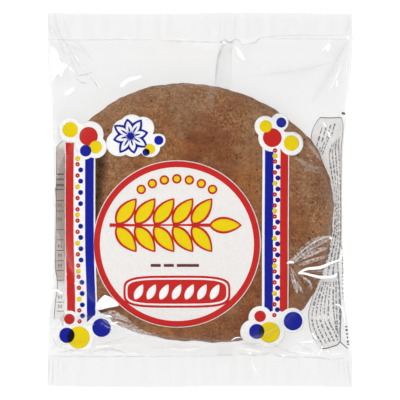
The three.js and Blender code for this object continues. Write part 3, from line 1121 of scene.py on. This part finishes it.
DOT_RADIUS, RING_RADIUS, DOT_EYE = 1.24, 1.12, 0.2
for first, pitch, count, warm_x, blue_x, start, drift in (
        (158.8, 5.61, 30, 78.0, 81.1, 0, left_drift), (150.7, 5.47, 31, 274.7, 277.7, 9, right_drift)):
    rows = {}
    for number in range(count):
        ink = DOT_ORDER[(start + number) % 10]
        x, y = from_view(blue_x if ink == "blue" else warm_x, first + pitch * number)
        rows.setdefault(ink, []).append((x + float(drift(y)), y))
    for ink, places in rows.items():
        put_dots(ink, 2, places, RING_RADIUS if ink == "red" else DOT_RADIUS)
    put_dots("white", 1, rows["red"], DOT_EYE)

# The groups of spots at the ends of the borders, on white clouds.
SPOTS = (
    (((70.3, 129.9, 12.4), (90.1, 134.9, 13.8), (96.1, 147.3, 11.1), (85.6, 150.9, 8.6), (82, 145, 7.2)),
     (("yellow", 2, 70.3, 129.9, 7.7), ("red", 2, 88.8, 136.4, 9.4), ("yellow", 1, 96.1, 147.3, 6.3),
      ("blue", 1, 86.0, 150.9, 5.8))),
    (((265.0, 126.6, 10.7), (279.5, 122.3, 9.0), (272, 137.9, 14.0), (291.2, 143.6, 12.0)),
     (("yellow", 1, 265.4, 126.6, 6.2), ("blue", 2, 281.1, 122.6, 5.1), ("red", 2, 272, 137.9, 9.4),
      ("yellow", 2, 291.1, 143.2, 7.7))),
    (((69.4, 320, 9.5), (65.5, 335.5, 13.0), (79, 337.5, 15.5), (100.7, 325.8, 12.0), (86, 331, 9)),
     (("red", 2, 69.5, 319.1, 5.3), ("yellow", 2, 78.7, 337.5, 11.1), ("blue", 1, 67.0, 335.3, 7.7),
      ("blue", 2, 101.5, 327.8, 9.3))),
    (((259.9, 317.2, 11.6), (252.8, 331.8, 12.7), (269.4, 333, 15.0), (292, 320.3, 12.7), (276, 322, 12)),
     (("red", 2, 259.9, 315.9, 5.8), ("yellow", 2, 269.4, 332.2, 10.6), ("blue", 1, 256.6, 331.2, 7.7),
      ("blue", 2, 293, 321, 9.4))),
)
for cloud, spots in SPOTS:
    put_ink("white", 3, cloud_of([as_seen(*each) for each in cloud]))
    for each in spots:
        spot(*each)


def shared_part(one, two, count=24):
    """The outline of what two circles share, where one spot's ink lies over the other's."""
    (ax, ay, ar), (bx, by, br) = one, two
    apart = math.hypot(bx - ax, by - ay)
    toward = math.atan2(by - ay, bx - ax)
    half_a = math.acos((apart ** 2 + ar ** 2 - br ** 2) / (2 * apart * ar))
    half_b = math.acos((apart ** 2 + br ** 2 - ar ** 2) / (2 * apart * br))
    first = toward + np.linspace(-half_a, half_a, count)
    second = toward + math.pi + np.linspace(-half_b, half_b, count)[1:-1]
    return np.concatenate([np.stack([ax + ar * np.cos(first), ay + ar * np.sin(first)], -1),
                           np.stack([bx + br * np.cos(second), by + br * np.sin(second)], -1)])


for one, two in (((67.0, 335.3, 7.7), (78.7, 337.5, 11.1)), ((256.6, 331.2, 7.7), (269.4, 332.2, 10.6)),
                 ((86.0, 150.9, 5.8), (96.1, 147.3, 6.3)), ((146.4, 152.5, 3.6), (150.2, 149.4, 5.2))):
    put_ink("night", 0, shared_part(as_seen(*one), as_seen(*two)))
for each in (("blue", 2, 159, 140.6, 4.6), ("yellow", 2, 150.2, 149.4, 5.2), ("red", 2, 142, 144.4, 2.6),
             ("blue", 1, 146.4, 152.5, 3.6)):
    spot(*each)

for ink, parts in inks.items():
    on_root(solid("print_" + ink, *joined(parts), ink_finish[ink]))

# ---- Side labels --------------------------------------------------------------------------
# Milky panels at the sides of the print. The left one is on the film's front. The right one is on
# its back and comes out from under the bun. Both hold fine grey dashes and rules.

LABEL_CLEAR = 0.8  # what each face of a label lets through
BUN_REFLECTION_COVER = 0.34  # how much less that is where the left label carries a painted reflection of the bun beside it
REFLECTION_HEAD, REFLECTION_FOOT = (24, 29), (-44, -38)  # y where the painted reflection ends
DASH_WIDTH, DASH_WEIGHTS = 0.4, (0.6, 1.25)
BACK_DEPTH = 0.3  # of the right label's lines inside the film's back
LEFT_EDGE = ((62.5, 141), (58, 146), (56.6, 152), (56.3, 200), (55.8, 230), (55.3, 255), (55.2, 268),
             (57, 279), (57.3, 289), (56, 297), (55, 307), (54, 319))  # in the picture, head to foot
LEFT_END = ((60, 318.5), (64.6, 312), (64.6, 141))
LEFT_RULES = ((174.2, 3), (179.3, 3), (185.1, 5), (189.5, 2), (200.5, 1), (211, 1), (229.6, 1), (239.8, 1),
              (250.3, 1), (260.7, 1), (270.4, 1), (280, 1), (302, 1), (311, 1))  # y and weight
LEFT_MARKS = (205.3, 219.2, 245.9, 255.3, 265.7, 297, 306)
RIGHT_INNER = ((320.2, 117.3), (315.2, 124.5), (312.2, 132.2), (311.4, 140), (316, 152), (325, 165),
               (330, 178), (332.5, 195), (333.5, 215), (333, 235), (331, 250), (325.5, 262), (319.5, 282),
               (313.8, 295), (310.3, 307), (308.9, 316), (310.4, 329), (314.2, 340), (320.4, 349.4))
RIGHT_OUTER = ((341.6, 117), (343.6, 124), (343.4, 135), (342, 148), (341.8, 171), (341.6, 194), (341.8, 217),
               (341.2, 245), (338.5, 261), (339.5, 275), (340.6, 290), (341.4, 307), (341.8, 315), (341, 331),
               (340.8, 341.5))
RIGHT_FOOT = ((320.4, 349.4), (326.4, 348.9), (332, 347.3), (338, 345), (340.8, 341.5))
RIGHT_RULES = (  # a path and its width
    (RIGHT_INNER[:4], 0.6), (RIGHT_INNER[13:18], 0.6), (RIGHT_FOOT, 1.2), (RIGHT_OUTER[:9], 0.7),
    (RIGHT_OUTER[9:], 0.9), (((320.2, 117.3), (330, 117.6), (341, 117.2)), 1.0),
    (((340.8, 342.4), (348, 348.6)), 1.1),
)
TEXT_BLOCKS = (  # lines of dashes, evenly spaced between two paths in the picture, and how many
    (((322.4, 127.5), (320.4, 134), (318, 143), (317.2, 146)),
     ((335.6, 123.5), (333.6, 130), (331.5, 136)), 4),
    (((320.6, 147), (318.9, 152)),
     ((329.5, 137), (326.6, 144), (322.4, 155)), 3),
    (((333.2, 143), (330.2, 152), (330, 158), (331.3, 168), (333.4, 180), (335.6, 194), (336, 206),
      (335.9, 222), (334.6, 234), (331.4, 246), (327.8, 258), (324, 270), (321.5, 279)),
     ((340, 138), (339.4, 146), (340, 156), (340.6, 170), (341, 190), (341.3, 210), (341.2, 230),
      (340.4, 246), (338.6, 258), (338.9, 268), (339.4, 279)), 4),
    (((322.4, 282), (319, 291), (315.2, 302), (313.2, 311), (312.4, 317)),
     ((331, 282), (330, 292), (329, 304), (328.6, 316)), 5),
    (((334.4, 281), (333.8, 296), (334.2, 310), (335.6, 322), (337.2, 332)),
     ((339.4, 281), (340, 298), (340.6, 314), (340.3, 330), (339.8, 337)), 3),
    (((312.3, 320), (314.2, 328), (318, 337), (322.8, 345)),
     ((328.8, 320), (332, 327), (335.6, 334), (338.4, 341)), 5),
)
TEXT_SHARE = 0.42  # of a line's room that its dashes fill
EDGE_MARKS = (((342.3, 246), (342.6, 262), (342.8, 280), (343, 300)),
              ((346.2, 326), (347.2, 336), (348.4, 346)))


def traced(path, step=0.8):
    """Even steps along a smooth curve through places in the picture: x, y and width in mm."""
    points = np.array([(*from_view(*place[:2]), place[2] if len(place) > 2 else 1.0) for place in path])
    length = np.hypot(*np.diff(points[:, :2], axis=0).T).sum()
    return between(points[:, None, :], np.linspace(0, len(path) - 1, max(3, int(length / step) + 1)), 0)[:, 0]


def drawn_lines():
    """Geometry Nodes: a thin round line along each chain of edges, as wide as its points say."""
    tree, given = node_tree_for("drawn_lines", "Width", finish="Ink")
    chain = node(tree, "GeometryNodeMeshToCurve", ("Mesh", given["Geometry"]))
    wide = node(tree, "GeometryNodeInputNamedAttribute", ("Name", "wide"), data_type="FLOAT")
    scale = maths(tree, "MULTIPLY", wide.outputs["Attribute"], given["Width"])
    ring = node(tree, "GeometryNodeCurvePrimitiveCircle", ("Resolution", 6), ("Radius", 0.5))
    tube = node(tree, "GeometryNodeCurveToMesh", ("Curve", chain.outputs[0]),
                ("Profile Curve", ring.outputs[0]), ("Scale", scale), ("Fill Caps", True))
    return end_tree(tree, tube.outputs[0], given["Ink"])


line_tree = drawn_lines()


def put_lines(name, finish, lines, width):
    """One piece of thin lines. Each line is its points in mm, and how wide it is at each of them."""
    points = np.concatenate([some for some, _ in lines])
    starts = np.cumsum([0] + [len(some) for some, _ in lines])
    edges = [(n, n + 1) for start, end in zip(starts[:-1], starts[1:]) for n in range(start, end - 1)]
    mesh = bpy.data.meshes.new(name)
    mesh.from_pydata(points / 1000, edges, [])
    mesh.materials.append(finish)
    piece = bpy.data.objects.new(name, mesh)
    mark_points(piece, "wide", np.concatenate([wide for _, wide in lines]))
    scene.collection.objects.link(piece)
    run_tree(piece, line_tree, Width=width / 1000, Ink=finish)
    on_root(piece)


def label_material():
    """A thin milky ink that lets a good part of the light through. On the left label beside the bun it is
    browner and covers more: a painted reflection of the bun.
    """
    finish, tree, surface = material("milky_ink")
    most = 1 - LABEL_CLEAR
    cover = ramp(tree, noise(tree, 120.0, 3.0, here(tree)), 0.3, 0.7, most - 0.04, most + 0.04)
    bun_reflection = attribute(tree, "bun_reflection")
    tone = mixed(tree, bun_reflection, linear(236, 233, 230), linear(190, 173, 162))
    milk = node(tree, "ShaderNodeBsdfDiffuse", ("Color", tone))
    cover = maths(tree, "MULTIPLY_ADD", bun_reflection, BUN_REFLECTION_COVER, cover)
    put_together(tree, surface, cover, see_through(tree, (0.97, 0.97, 0.97, 1)), milk)
    return finish


def outline_of(*paths):
    return evenly(np.concatenate([traced(path)[:, :2] for path in paths]))


def dashes(draw, track, wide, lay, longest):
    """Strokes with gaps along a track of points, about as wide as the track is there, in mm."""
    made, at = [], 0
    while at < len(track) - 3:
        long = int(draw.integers(3, longest))
        some = slice(at, at + long)
        made.append((lay(track[some]), wide[some] * draw.uniform(*DASH_WEIGHTS) / DASH_WIDTH))
        at += long + int(draw.integers(1, 3))
    return made


def text_block(draw, first, last, count):
    """Lines of dashes, evenly spaced from one path to another."""
    first, last = (traced(path, 0.3)[:, :2] for path in (first, last))
    steps = max(len(first), len(last))
    first, last = (side[np.linspace(0, len(side) - 1, steps).astype(int)] for side in (first, last))
    pitch = np.hypot(*(last - first).T) / (count - 1)
    wide = np.clip(TEXT_SHARE * pitch, 0.3, 0.75)
    made = []
    for line in range(count):
        made += dashes(draw, first + (last - first) * line / (count - 1), wide, back, 10)
    return made


def front(places, depth=INK_DEPTH):
    return on_film(places[:, :2], depth)


def back(places, depth=BACK_DEPTH):
    return on_film(places[:, :2], depth, back=True)


milky_ink = label_material()
left_flat, left_faces = filled([outline_of(LEFT_EDGE, LEFT_END)])
right_flat, right_faces = filled([outline_of(RIGHT_INNER, RIGHT_FOOT, RIGHT_OUTER[::-1])])
labels = solid("label_panels", *joined([leaf(left_flat, left_faces, 2),
                                        leaf(right_flat, right_faces, 0, back=True)]), milky_ink)
place = np.array([v.co[:2] for v in labels.data.vertices]) * 1000
x, y = place.T
# The bun's painted reflection in the left label, fading in from its foot and out towards its head.
mark_points(labels, "bun_reflection", (x < 0) * eased(y, *REFLECTION_FOOT) * (1 - eased(y, *REFLECTION_HEAD)))
on_root(labels)

draw = np.random.default_rng(11)
strokes = []


def stroke(lay, path, wide, step=0.8):
    """A plain line of one width along a path in the picture."""
    line = traced(path, step)
    strokes.append((lay(line), np.full(len(line), wide)))


rows = [dash for block in TEXT_BLOCKS for dash in text_block(draw, *block)]
put_lines("label_rows", ink_material("pale_grey_ink", (150, 148, 148)), rows, DASH_WIDTH)
for path, wide in zip(EDGE_MARKS, (0.5, 0.95)):
    track = traced(path, 0.3)[:, :2]
    strokes += dashes(draw, track, np.full(len(track), wide), front, 5)
for path, wide in RIGHT_RULES:
    stroke(back, path, wide)
stroke(front, ((342, 113), (344.6, 113.9)), 3.0)  # a short mark above the right label
for y, weight in LEFT_RULES:
    stroke(front, ((56.8, y), (60, y), (63.9, y)), 0.9 + 0.5 * (weight - 1))
for y in LEFT_MARKS:
    for x, long in ((58.4, 1.7), (59.8, 1.2), (61.4, 1.9)):
        stroke(front, ((x, y - long), (x + 0.2, y + long)), 0.7, 0.3)
stroke(front, LEFT_EDGE, 0.7)
put_lines("label_dashes", ink_material("grey_ink", (104, 101, 100)), strokes, DASH_WIDTH)

# ---- Folds and creases --------------------------------------------------------------------
# The film's sharp pleats are drawn white and glossy, a painted highlight, and its creases as thin grey lines,
# a painted shade. White facets and strips are painted glints and sheens, and a dark strip under the left
# border is a painted shadow on the crust.

PLEATS = (  # pleats, drawn white as a painted highlight: places in the picture, and width in mm
    ((298.1, 273, 0.9), (305.5, 268.9, 1.3), (315.5, 267.6, 1.6), (321, 267, 1.7), (327.2, 264.2, 1.3),
     (333.3, 261.8, 1.1), (339.5, 260.2, 0.9)),
    ((298.1, 273, 0.9), (304, 273.2, 1.1), (310.9, 274.9, 1.3), (319.4, 276.8, 1.5), (326.4, 276.9, 1.5),
     (333.3, 276.2, 1.4), (336.6, 273.3, 0.8)),
    ((339.8, 260, 0.4), (341.5, 255.5, 0.6), (341.1, 249.3, 0.4)),
    ((335, 304, 0.4), (339.6, 305.6, 0.7), (343, 311, 0.7), (344.8, 322, 0.4)),
    ((311.7, 333, 0.4), (313.6, 335.6, 0.8), (316.6, 339, 0.4)),
    ((302, 342.6, 0.5), (308, 342, 0.9), (313, 341, 0.5)),
    ((318.4, 355.5, 0.4), (320.6, 351, 0.6), (322.4, 346.3, 0.4)),
    ((52.8, 291, 0.5), (56, 289.6, 1.2), (59.5, 291.6, 1.3), (63, 293.4, 0.6)),
    ((106.5, 315.3, 0.5), (109, 315.6, 1.1), (112, 316.8, 0.5)),
    ((110, 324, 0.5), (113.5, 323.2, 0.9), (118.5, 321.6, 0.4)),
    ((286.5, 262.9, 0.4), (290.6, 261.6, 1.4), (293.6, 262.6, 0.5)),
    ((329.4, 237, 0.6), (330.6, 237.9, 1.2), (331.4, 239, 0.6)),
    ((323.2, 122.6, 0.3), (324.6, 125.4, 0.7), (326.6, 127.6, 0.3)),
    ((327.8, 131.6, 0.4), (328.8, 134.4, 1), (330.2, 137, 0.4)),
    ((336.7, 80, 0.4), (336.8, 83, 0.7), (337, 86, 0.4)),
    ((347.4, 37, 0.8), (348.2, 38, 1.3), (348.8, 39.4, 0.7)),
    ((222.6, 41.6, 0.5), (224.4, 43, 1.1), (225.6, 44.2, 0.5)),
    ((248.6, 352.4, 0.5), (250, 352.8, 1.1), (251.4, 353.4, 0.5)),
    ((282, 355, 0.4), (283.2, 355.5, 0.9), (284.4, 356.2, 0.4)),
    ((231.5, 340.2, 0.3), (235.5, 337.6, 0.6), (240.8, 337.1, 0.3)),
    ((214.4, 32.6, 0.4), (215.3, 33.2, 0.8), (216.2, 34, 0.4)),
    ((126.6, 36.4, 0.4), (127.2, 37.2, 0.7), (127.8, 38, 0.4)),
)
PAINTED_GLINTS = (  # painted glints: flat facets drawn white
    ((105, 294.4), (100, 299), (96.8, 303.9), (96.4, 307.5), (99.3, 309.6), (108, 307.6), (119.2, 305),
     (115, 300), (111.3, 296.8)),
    ((51.2, 46.7), (55.3, 48.8), (58.4, 53.9), (60.4, 62), (68.6, 65.1), (64.5, 69.2), (61.4, 77),
     (58.4, 73.3), (56.3, 75.3), (52.2, 81.4), (50.7, 75.3), (49.8, 65.1), (49.8, 54.9)),
    ((65, 95.2), (65.5, 91.6), (74.7, 87), (70.6, 94.2)),
    ((120.6, 83.5), (125.7, 79.4), (133, 76.6), (142, 75.4), (138, 78.4), (128.8, 81.6), (121.6, 87.5)),
    ((235.7, 46.7), (240, 50), (243, 55), (244.9, 60), (240, 57.5), (237, 52)),
    ((329.6, 42.7), (330.5, 46), (328, 51.5), (326, 48.5), (322.4, 50.8), (325, 46)),
)
PAINTED_HAZES = (  # painted sheen: facets with a faint broken shine
    ((285.5, 263), (292, 256.5), (302, 246), (312, 238.5), (324, 235.5), (331, 236.5), (328, 241),
     (318, 243.5), (309, 249.5), (301, 257), (293, 263.5)),
    ((300, 255.5), (311, 250.5), (322, 247), (327, 249), (314, 255), (303, 259)),
    ((296, 265), (306, 260.5), (318, 257), (326, 257.5), (316, 261), (304, 265)),
    ((289.8, 272), (293, 276), (296.5, 284), (298.2, 294), (295, 291), (291.5, 283)),
    ((301.5, 276), (306, 277.6), (310.6, 281), (311.6, 285), (308, 288), (308.6, 283), (304, 280)),
    ((296, 280), (299.5, 284), (302.5, 291), (300.5, 292), (297, 286)),
    ((112, 320), (128, 323), (146, 331), (162, 338), (142, 338), (124, 332)),
    ((101, 313), (112, 310), (122, 314), (132, 322), (118, 319), (106, 319)),
)
PAINTED_CREASE_SHADES = (  # painted shade along the creases and seal lines: how dark; places in the picture, and width in mm
    (0.4, (289, 265, 0.6), (291, 274, 1.3), (294.6, 284, 1.2), (297, 292, 0.5)),
    (0.2, (297, 154, 0.8), (304, 158, 2), (312, 160, 2), (319, 164, 1)),
    (0.16, (304, 163, 0.6), (312, 165, 1.2), (318, 166, 0.6)),
    (0.35, (290.5, 258.5, 0.5), (296, 253, 1.1), (304, 246.6, 1.1), (311, 243, 0.5)),
    (0.3, (299, 276.6, 0.5), (304, 283, 1.2), (307, 292, 0.5)),
    (0.25, (302, 270.6, 0.5), (313, 271.6, 1.4), (322, 272, 0.6)),
    (0.16, (48, 38.8, 0.9), (72, 40, 1), (120, 39.8, 1), (157, 40, 0.8)),
    (0.22, (157, 40.4, 0.6), (181, 41.6, 1.2), (222, 42.4, 1.2)),
    (0.18, (243, 45, 1), (249, 43.7, 1), (255, 42.5, 1), (261, 38, 1.2), (271.4, 36.6, 1), (296, 35.5, 1),
     (345, 35.5, 0.8)),
    (0.13, (268, 38.5, 0.9), (310, 39, 0.9), (347, 39.4, 0.9)),
    (0.16, (226.5, 43, 1), (222.5, 47, 1.3), (219.6, 53, 1.5), (217.6, 60, 1)),
    (0.08, (217.6, 60, 0.8), (216.6, 66, 1.4), (215.6, 74, 1.4), (215.2, 85, 1)),
    (0.08, (231, 42, 0.8), (231, 64, 0.9), (230.8, 88, 0.8)),
    (0.3, (219, 43, 0.8), (225, 39.8, 1), (229.6, 42.7, 1), (233.7, 40.1, 1), (237.8, 40.1, 1),
     (243.9, 46.7, 0.8)),
    (0.025, (220.4, 13, 1), (220.4, 26, 1), (220.6, 40, 1)),
    (0.02, (231.6, 13, 1), (231.6, 26, 1), (231.4, 39, 1)),
    (0.035, (235, 13, 1.2), (235, 26, 1.4), (234.6, 38, 1.2)),
    (0.05, (347, 43, 2), (340, 53, 4), (333, 67, 5), (326, 80, 4.5), (318, 92, 3.5), (311, 103, 1.5)),
    (0.06, (345, 46, 0.8), (336, 62, 0.9), (329, 76, 0.8)),
    (0.06, (246, 76, 1), (270, 74, 1.4), (289.8, 71.2, 1.6), (303, 69.2, 1.6), (325.5, 64, 1.2),
     (333, 62, 0.8)),
    (0.1, (60.4, 40.6, 1), (66.5, 50.8, 1.6), (74.7, 67.1, 1.6), (77.8, 75.3, 1)),
    (0.09, (65.5, 40.6, 1), (75.7, 59, 1.6), (82.9, 67.1, 1.2), (88, 74, 0.8)),
    (0.08, (50, 22, 1), (57, 36, 1.6), (61, 46, 1.6), (66, 58, 1.2), (70, 66, 0.8)),
    (0.1, (58, 28, 1.2), (66, 44, 2), (80, 50, 1.6), (86, 56, 1)),
    (0.08, (68, 38, 0.8), (82, 47, 1.2), (92, 60, 0.8)),
    (0.22, (76, 76.4, 0.6), (80, 75.3, 1), (86.9, 74.3, 1), (93.1, 71.2, 0.6)),
    (0.22, (75.7, 77.3, 0.6), (80.8, 81.9, 1), (88, 83.5, 0.8)),
    (0.2, (89, 76.8, 0.8), (94.1, 81.4, 1), (99.2, 89.1, 0.6)),
    (0.12, (54, 100, 0.8), (53.6, 150, 1), (53.4, 230, 1), (53.6, 280, 0.8)),
    (0.12, (55.3, 13, 1), (55.6, 20, 1.2), (58, 30, 1), (61, 38, 1)),
    (0.1, (49, 14, 1.2), (49.5, 26, 1.4), (52, 37, 1.2)),
    (0.07, (63, 15, 0.8), (66, 28, 1), (72, 38, 0.8)),
    (0.1, (348, 14, 1), (348.5, 25.3, 1.2), (345, 34, 1)),
    (0.06, (351, 17, 0.8), (350.5, 26, 0.8), (350, 35, 0.8)),
    (0.18, (48, 356.2, 0.9), (120, 356.6, 1), (180, 356.2, 1), (231, 356, 1)),
    (0.22, (238, 353, 0.8), (246, 355, 1.2), (256, 355.2, 1.2), (264.3, 354.5, 1), (271.4, 352.4, 0.8)),
    (0.24, (271.4, 352.4, 0.8), (277.6, 355.5, 1.2), (287.8, 357.3, 1.2), (302, 357, 1.2),
     (317.3, 357.6, 1.2), (331.6, 359.6, 1.2), (346, 357.6, 0.8)),
    (0.1, (262, 341, 1), (276, 346, 2), (290, 352, 1.5), (300, 354, 1)),
    (0.09, (296, 342, 1), (306, 349, 2.4), (316, 353, 1.5)),
    (0.1, (240, 342, 1), (252, 346, 2.4), (262, 347, 1.2)),
    (0.07, (150, 348, 1), (180, 347, 2.4), (212, 349, 1.2)),
    (0.12, (58, 353, 1), (75, 350, 1.6), (88, 352, 1.2), (95, 355, 0.8)),
    (0.18, (88, 353.7, 0.8), (98.6, 350.2, 1.2), (109.2, 349.1, 1.4), (119, 350.9, 1.2),
     (127.4, 353.7, 0.8)),
    (0.14, (96, 345, 0.8), (104, 344, 1.4), (113, 341.6, 1.8), (124, 338, 1.4), (132, 336, 0.8)),
    (0.09, (104, 353, 2), (112, 345, 3), (122, 342, 2)),
    (0.45, (98, 311.2, 0.9), (104, 311.6, 2.2), (110, 310.4, 2.2), (118, 307.8, 0.8)),
    (0.4, (96.5, 305.6, 1), (100, 306.8, 1.2), (105, 307.4, 0.6)),
    (0.12, (49, 359, 1), (48.5, 372, 1.4), (47.5, 385, 1)),
    (0.1, (53.5, 358, 1), (53, 370, 1.2), (52, 385, 1)),
    (0.08, (58.5, 358, 1), (58.3, 368, 1), (57.6, 380, 0.8)),
    (0.06, (64, 359, 0.8), (63.8, 366, 0.8), (63.5, 373, 0.8)),
    (0.12, (347, 361, 1), (349, 372, 1.4), (350.5, 385, 1)),
    (0.08, (343, 361, 1), (344.5, 372, 1), (345.5, 382, 0.8)),
    (0.06, (338.5, 361, 0.8), (339, 366, 0.8), (339.5, 373, 0.8)),
)
PAINTED_SHEEN_LINES = (  # painted sheens and highlights: how white; places in the picture, and width in mm
    (0.08, (210.5, 80, 3), (210.5, 93, 5), (211, 114, 3)),
    (0.2, (293, 157, 1.2), (300, 161, 3), (308, 166, 3.4), (316, 168, 2.4), (321, 168, 1)),
    (0.16, (300, 168, 1), (308, 170, 1.8), (316, 172, 1.4), (322, 172, 0.8)),
    (0.2, (305, 141, 1), (311, 147, 3), (316, 154, 2.6), (321, 161, 1.2)),
    (0.6, (291, 261, 0.5), (300, 252, 0.8), (312, 243, 1.2), (324, 237.4, 1.2), (331, 236, 0.8)),
    (0.4, (293, 262, 0.5), (304, 253, 1), (316, 246, 1.6), (327, 241, 1.2)),
    (0.4, (294, 263, 0.5), (306, 257, 0.9), (318, 251, 1.2), (328, 248, 0.8)),
    (0.3, (296, 264, 0.5), (308, 260, 0.8), (320, 257, 1), (330, 255, 0.6)),
    (0.5, (290, 266, 0.5), (292, 273, 0.8), (295, 282, 0.8), (297, 294, 0.5)),
    (0.3, (291, 268, 0.5), (296, 276, 0.8), (301, 284, 0.6)),
    (0.3, (306, 272, 0.6), (320, 271, 1), (334, 269, 0.6)),
    (0.5, (300, 275, 0.5), (306, 279, 0.9), (311, 285, 0.8), (311, 290, 0.5)),
    (0.4, (297, 283, 0.4), (300, 288, 0.7), (303, 293, 0.4)),
    (0.5, (331, 237, 0.5), (336, 243, 0.9), (340, 250, 0.8), (341, 259, 0.6)),
    (0.24, (106, 318, 0.8), (118, 322, 1.6), (134, 330, 1.6), (150, 335, 0.8)),
    (0.2, (112, 315, 0.6), (126, 321, 1.2), (140, 328, 0.8)),
    (0.24, (104, 321, 0.6), (114, 326, 1.4), (126, 333, 0.8)),
    (0.2, (120, 328, 0.8), (136, 334, 1.4), (158, 338, 0.8)),
    (0.5, (97, 313.6, 0.5), (106, 313, 0.8), (117, 309.6, 0.5)),
    (0.8, (250.5, 357, 0.6), (253, 364.7, 0.9), (255.6, 370.8, 0.9), (257, 378, 0.5)),
    (0.7, (62, 42, 0.6), (66, 50, 0.9), (71, 60, 0.6)),
    (0.6, (70, 48, 0.6), (78, 60, 0.9), (84, 69, 0.5)),
    (0.7, (95, 79, 0.6), (98, 84, 0.7), (100.5, 89, 0.4)),
    (0.6, (66, 64, 0.8), (72, 70, 1.2), (77, 74, 0.6)),
    (0.5, (343, 60, 1), (336, 78, 1.6), (327, 94, 1)),
    (0.3, (349, 46, 0.8), (347, 62, 1.2), (346, 80, 0.8)),
    (0.6, (96, 347, 0.8), (108, 346, 1.4), (122, 344.5, 0.8)),
    (0.6, (110, 352.4, 0.8), (124, 353.5, 1.2), (140, 353, 0.8)),
    (0.6, (236, 347, 1), (250, 350, 1.8), (262, 351.5, 1)),
    (0.6, (292, 350, 0.8), (305, 353.5, 1.4), (318, 354.5, 0.8)),
    (0.5, (160, 345, 0.8), (185, 350, 1.6), (214, 345, 0.8)),
    (0.5, (325, 350, 0.8), (333, 354, 1.4), (344, 352, 0.8)),
    (0.4, (64, 348, 0.8), (78, 354, 1.4), (92, 349, 0.8)),
)
PAINTED_PRINT_SHADOW = (  # painted shadow on the crust under the left border, which keeps the light from it: how dark; places and width.
    (0.6, (98, 130, 6.0), (100, 146, 10.0), (99.5, 172, 10.0), (97, 200, 8.0), (95, 232, 4.0),
     (94.5, 262, 2.0)),
)
STRIP_DEPTH, PLEAT_DEPTH = 0.07, 0.1  # under the film's surface
SHADE_DEPTH = 0.37  # of the painted shadow, below every ink
CREASE_GLOSS = 0.004


def painted_light_material(name, low, high, scale=500.0, share=None):
    """Painted highlight and sheen on folded and flat film: white, more or less clear, glossy, and glowing a
    little.
    """
    finish, tree, surface = material(name)
    cover = ramp(tree, noise(tree, scale, 3.0, here(tree)), 0.36, 0.66, low, high)
    if share:
        cover = maths(tree, "MULTIPLY", cover, attribute(tree, share))
    white = node(tree, "ShaderNodeBsdfPrincipled", ("Base Color", (0.97, 0.97, 0.97, 1)), ("Roughness", 0.25),
                 ("Emission Color", WHITE), ("Emission Strength", 0.3))
    put_together(tree, surface, cover, see_through(tree, (0.99, 0.99, 0.99, 1)), white)
    return finish


def painted_shade_material(name, least):
    """Painted shade: film that lets less through, with soft edges. least is how dark it is where it is broken
    up.
    """
    finish, tree, surface = material(name)
    broken = ramp(tree, noise(tree, 260.0, 2.0, here(tree)), 0.35, 0.6, least, 1.1)
    dark = maths(tree, "MULTIPLY", attribute(tree, "strength"), broken)
    clear = see_through(tree, maths(tree, "SUBTRACT", 1.0, dark))
    put_together(tree, surface, CREASE_GLOSS, clear, mirror(tree, 0.2))
    return finish


def on_pack(places, depth):
    """Points just under the film's front or, past its ends, just under an end seal."""
    points = on_film(places, depth)
    x, y = np.asarray(places).T
    past = (y > head_line(x)) | (y < foot_line(x))
    level = seal_level(x, y) - SEAL_THICKNESS / 2 - RIB_HEIGHT - depth
    points[past] = np.stack([x, y, level], -1)[past]
    return points


def soft_strip(strength, path, depth, across=6):
    """A strip along a path, on the film, and how strong its mark is at each of its points."""
    line = traced(path, 1.0)
    ahead = np.gradient(line[:, :2], axis=0)
    right = np.stack([ahead[:, 1], -ahead[:, 0]], -1) / np.linalg.norm(ahead, axis=1, keepdims=True)
    share = np.linspace(-1, 1, across + 1)
    places = line[:, None, :2] - right[:, None] * share[None, :, None] * line[:, None, 2:] / 2
    fade = np.sin(np.linspace(0, math.pi, len(line))) ** 0.5
    mark = strength * fade[:, None] * np.cos(share * math.pi / 2)[None, :] ** 1.5
    grid = on_pack(places.reshape(-1, 2), depth).reshape(*places.shape[:2], 3)
    return sheet(grid[:, ::-1]), mark[:, ::-1].ravel()


def put_facets(name, finish, outlines):
    """One piece of thin flat facets against the film."""
    parts = [leaf(*filled([outline_of((*outline, outline[0]))]), -1) for outline in outlines]
    on_root(solid(name, *joined(parts), finish))


def put_strips(name, finish, entries, depth=STRIP_DEPTH):
    """One piece of soft strips, each from its strength and its path."""
    strips = [soft_strip(strength, path, depth) for strength, *path in entries]
    piece = solid(name, *joined([strip for strip, _ in strips]), finish)
    mark_points(piece, "strength", np.concatenate([mark for _, mark in strips]))
    on_root(piece)


painted_glint_white = painted_light_material("painted_glint_white", 0.75, 1.0)
put_facets("painted_glint_facets", painted_glint_white, PAINTED_GLINTS)
put_facets("painted_haze_facets", painted_light_material("painted_haze_film", 0.0, 0.22, scale=900.0), PAINTED_HAZES)
traces = [traced(path) for path in PLEATS]
put_lines("pleats_painted_white", painted_glint_white,
          [(on_pack(line[:, :2], PLEAT_DEPTH), line[:, 2]) for line in traces], 1.0)
put_strips("painted_crease_lines", painted_shade_material("painted_crease_shade", 0.35), PAINTED_CREASE_SHADES)
put_strips("painted_print_shadow", painted_shade_material("painted_print_shadow_sheet", 0.85), PAINTED_PRINT_SHADOW, SHADE_DEPTH)
put_strips("painted_sheen_strips", painted_light_material("painted_sheen_film", 0.6, 1.0, share="strength"), PAINTED_SHEEN_LINES)
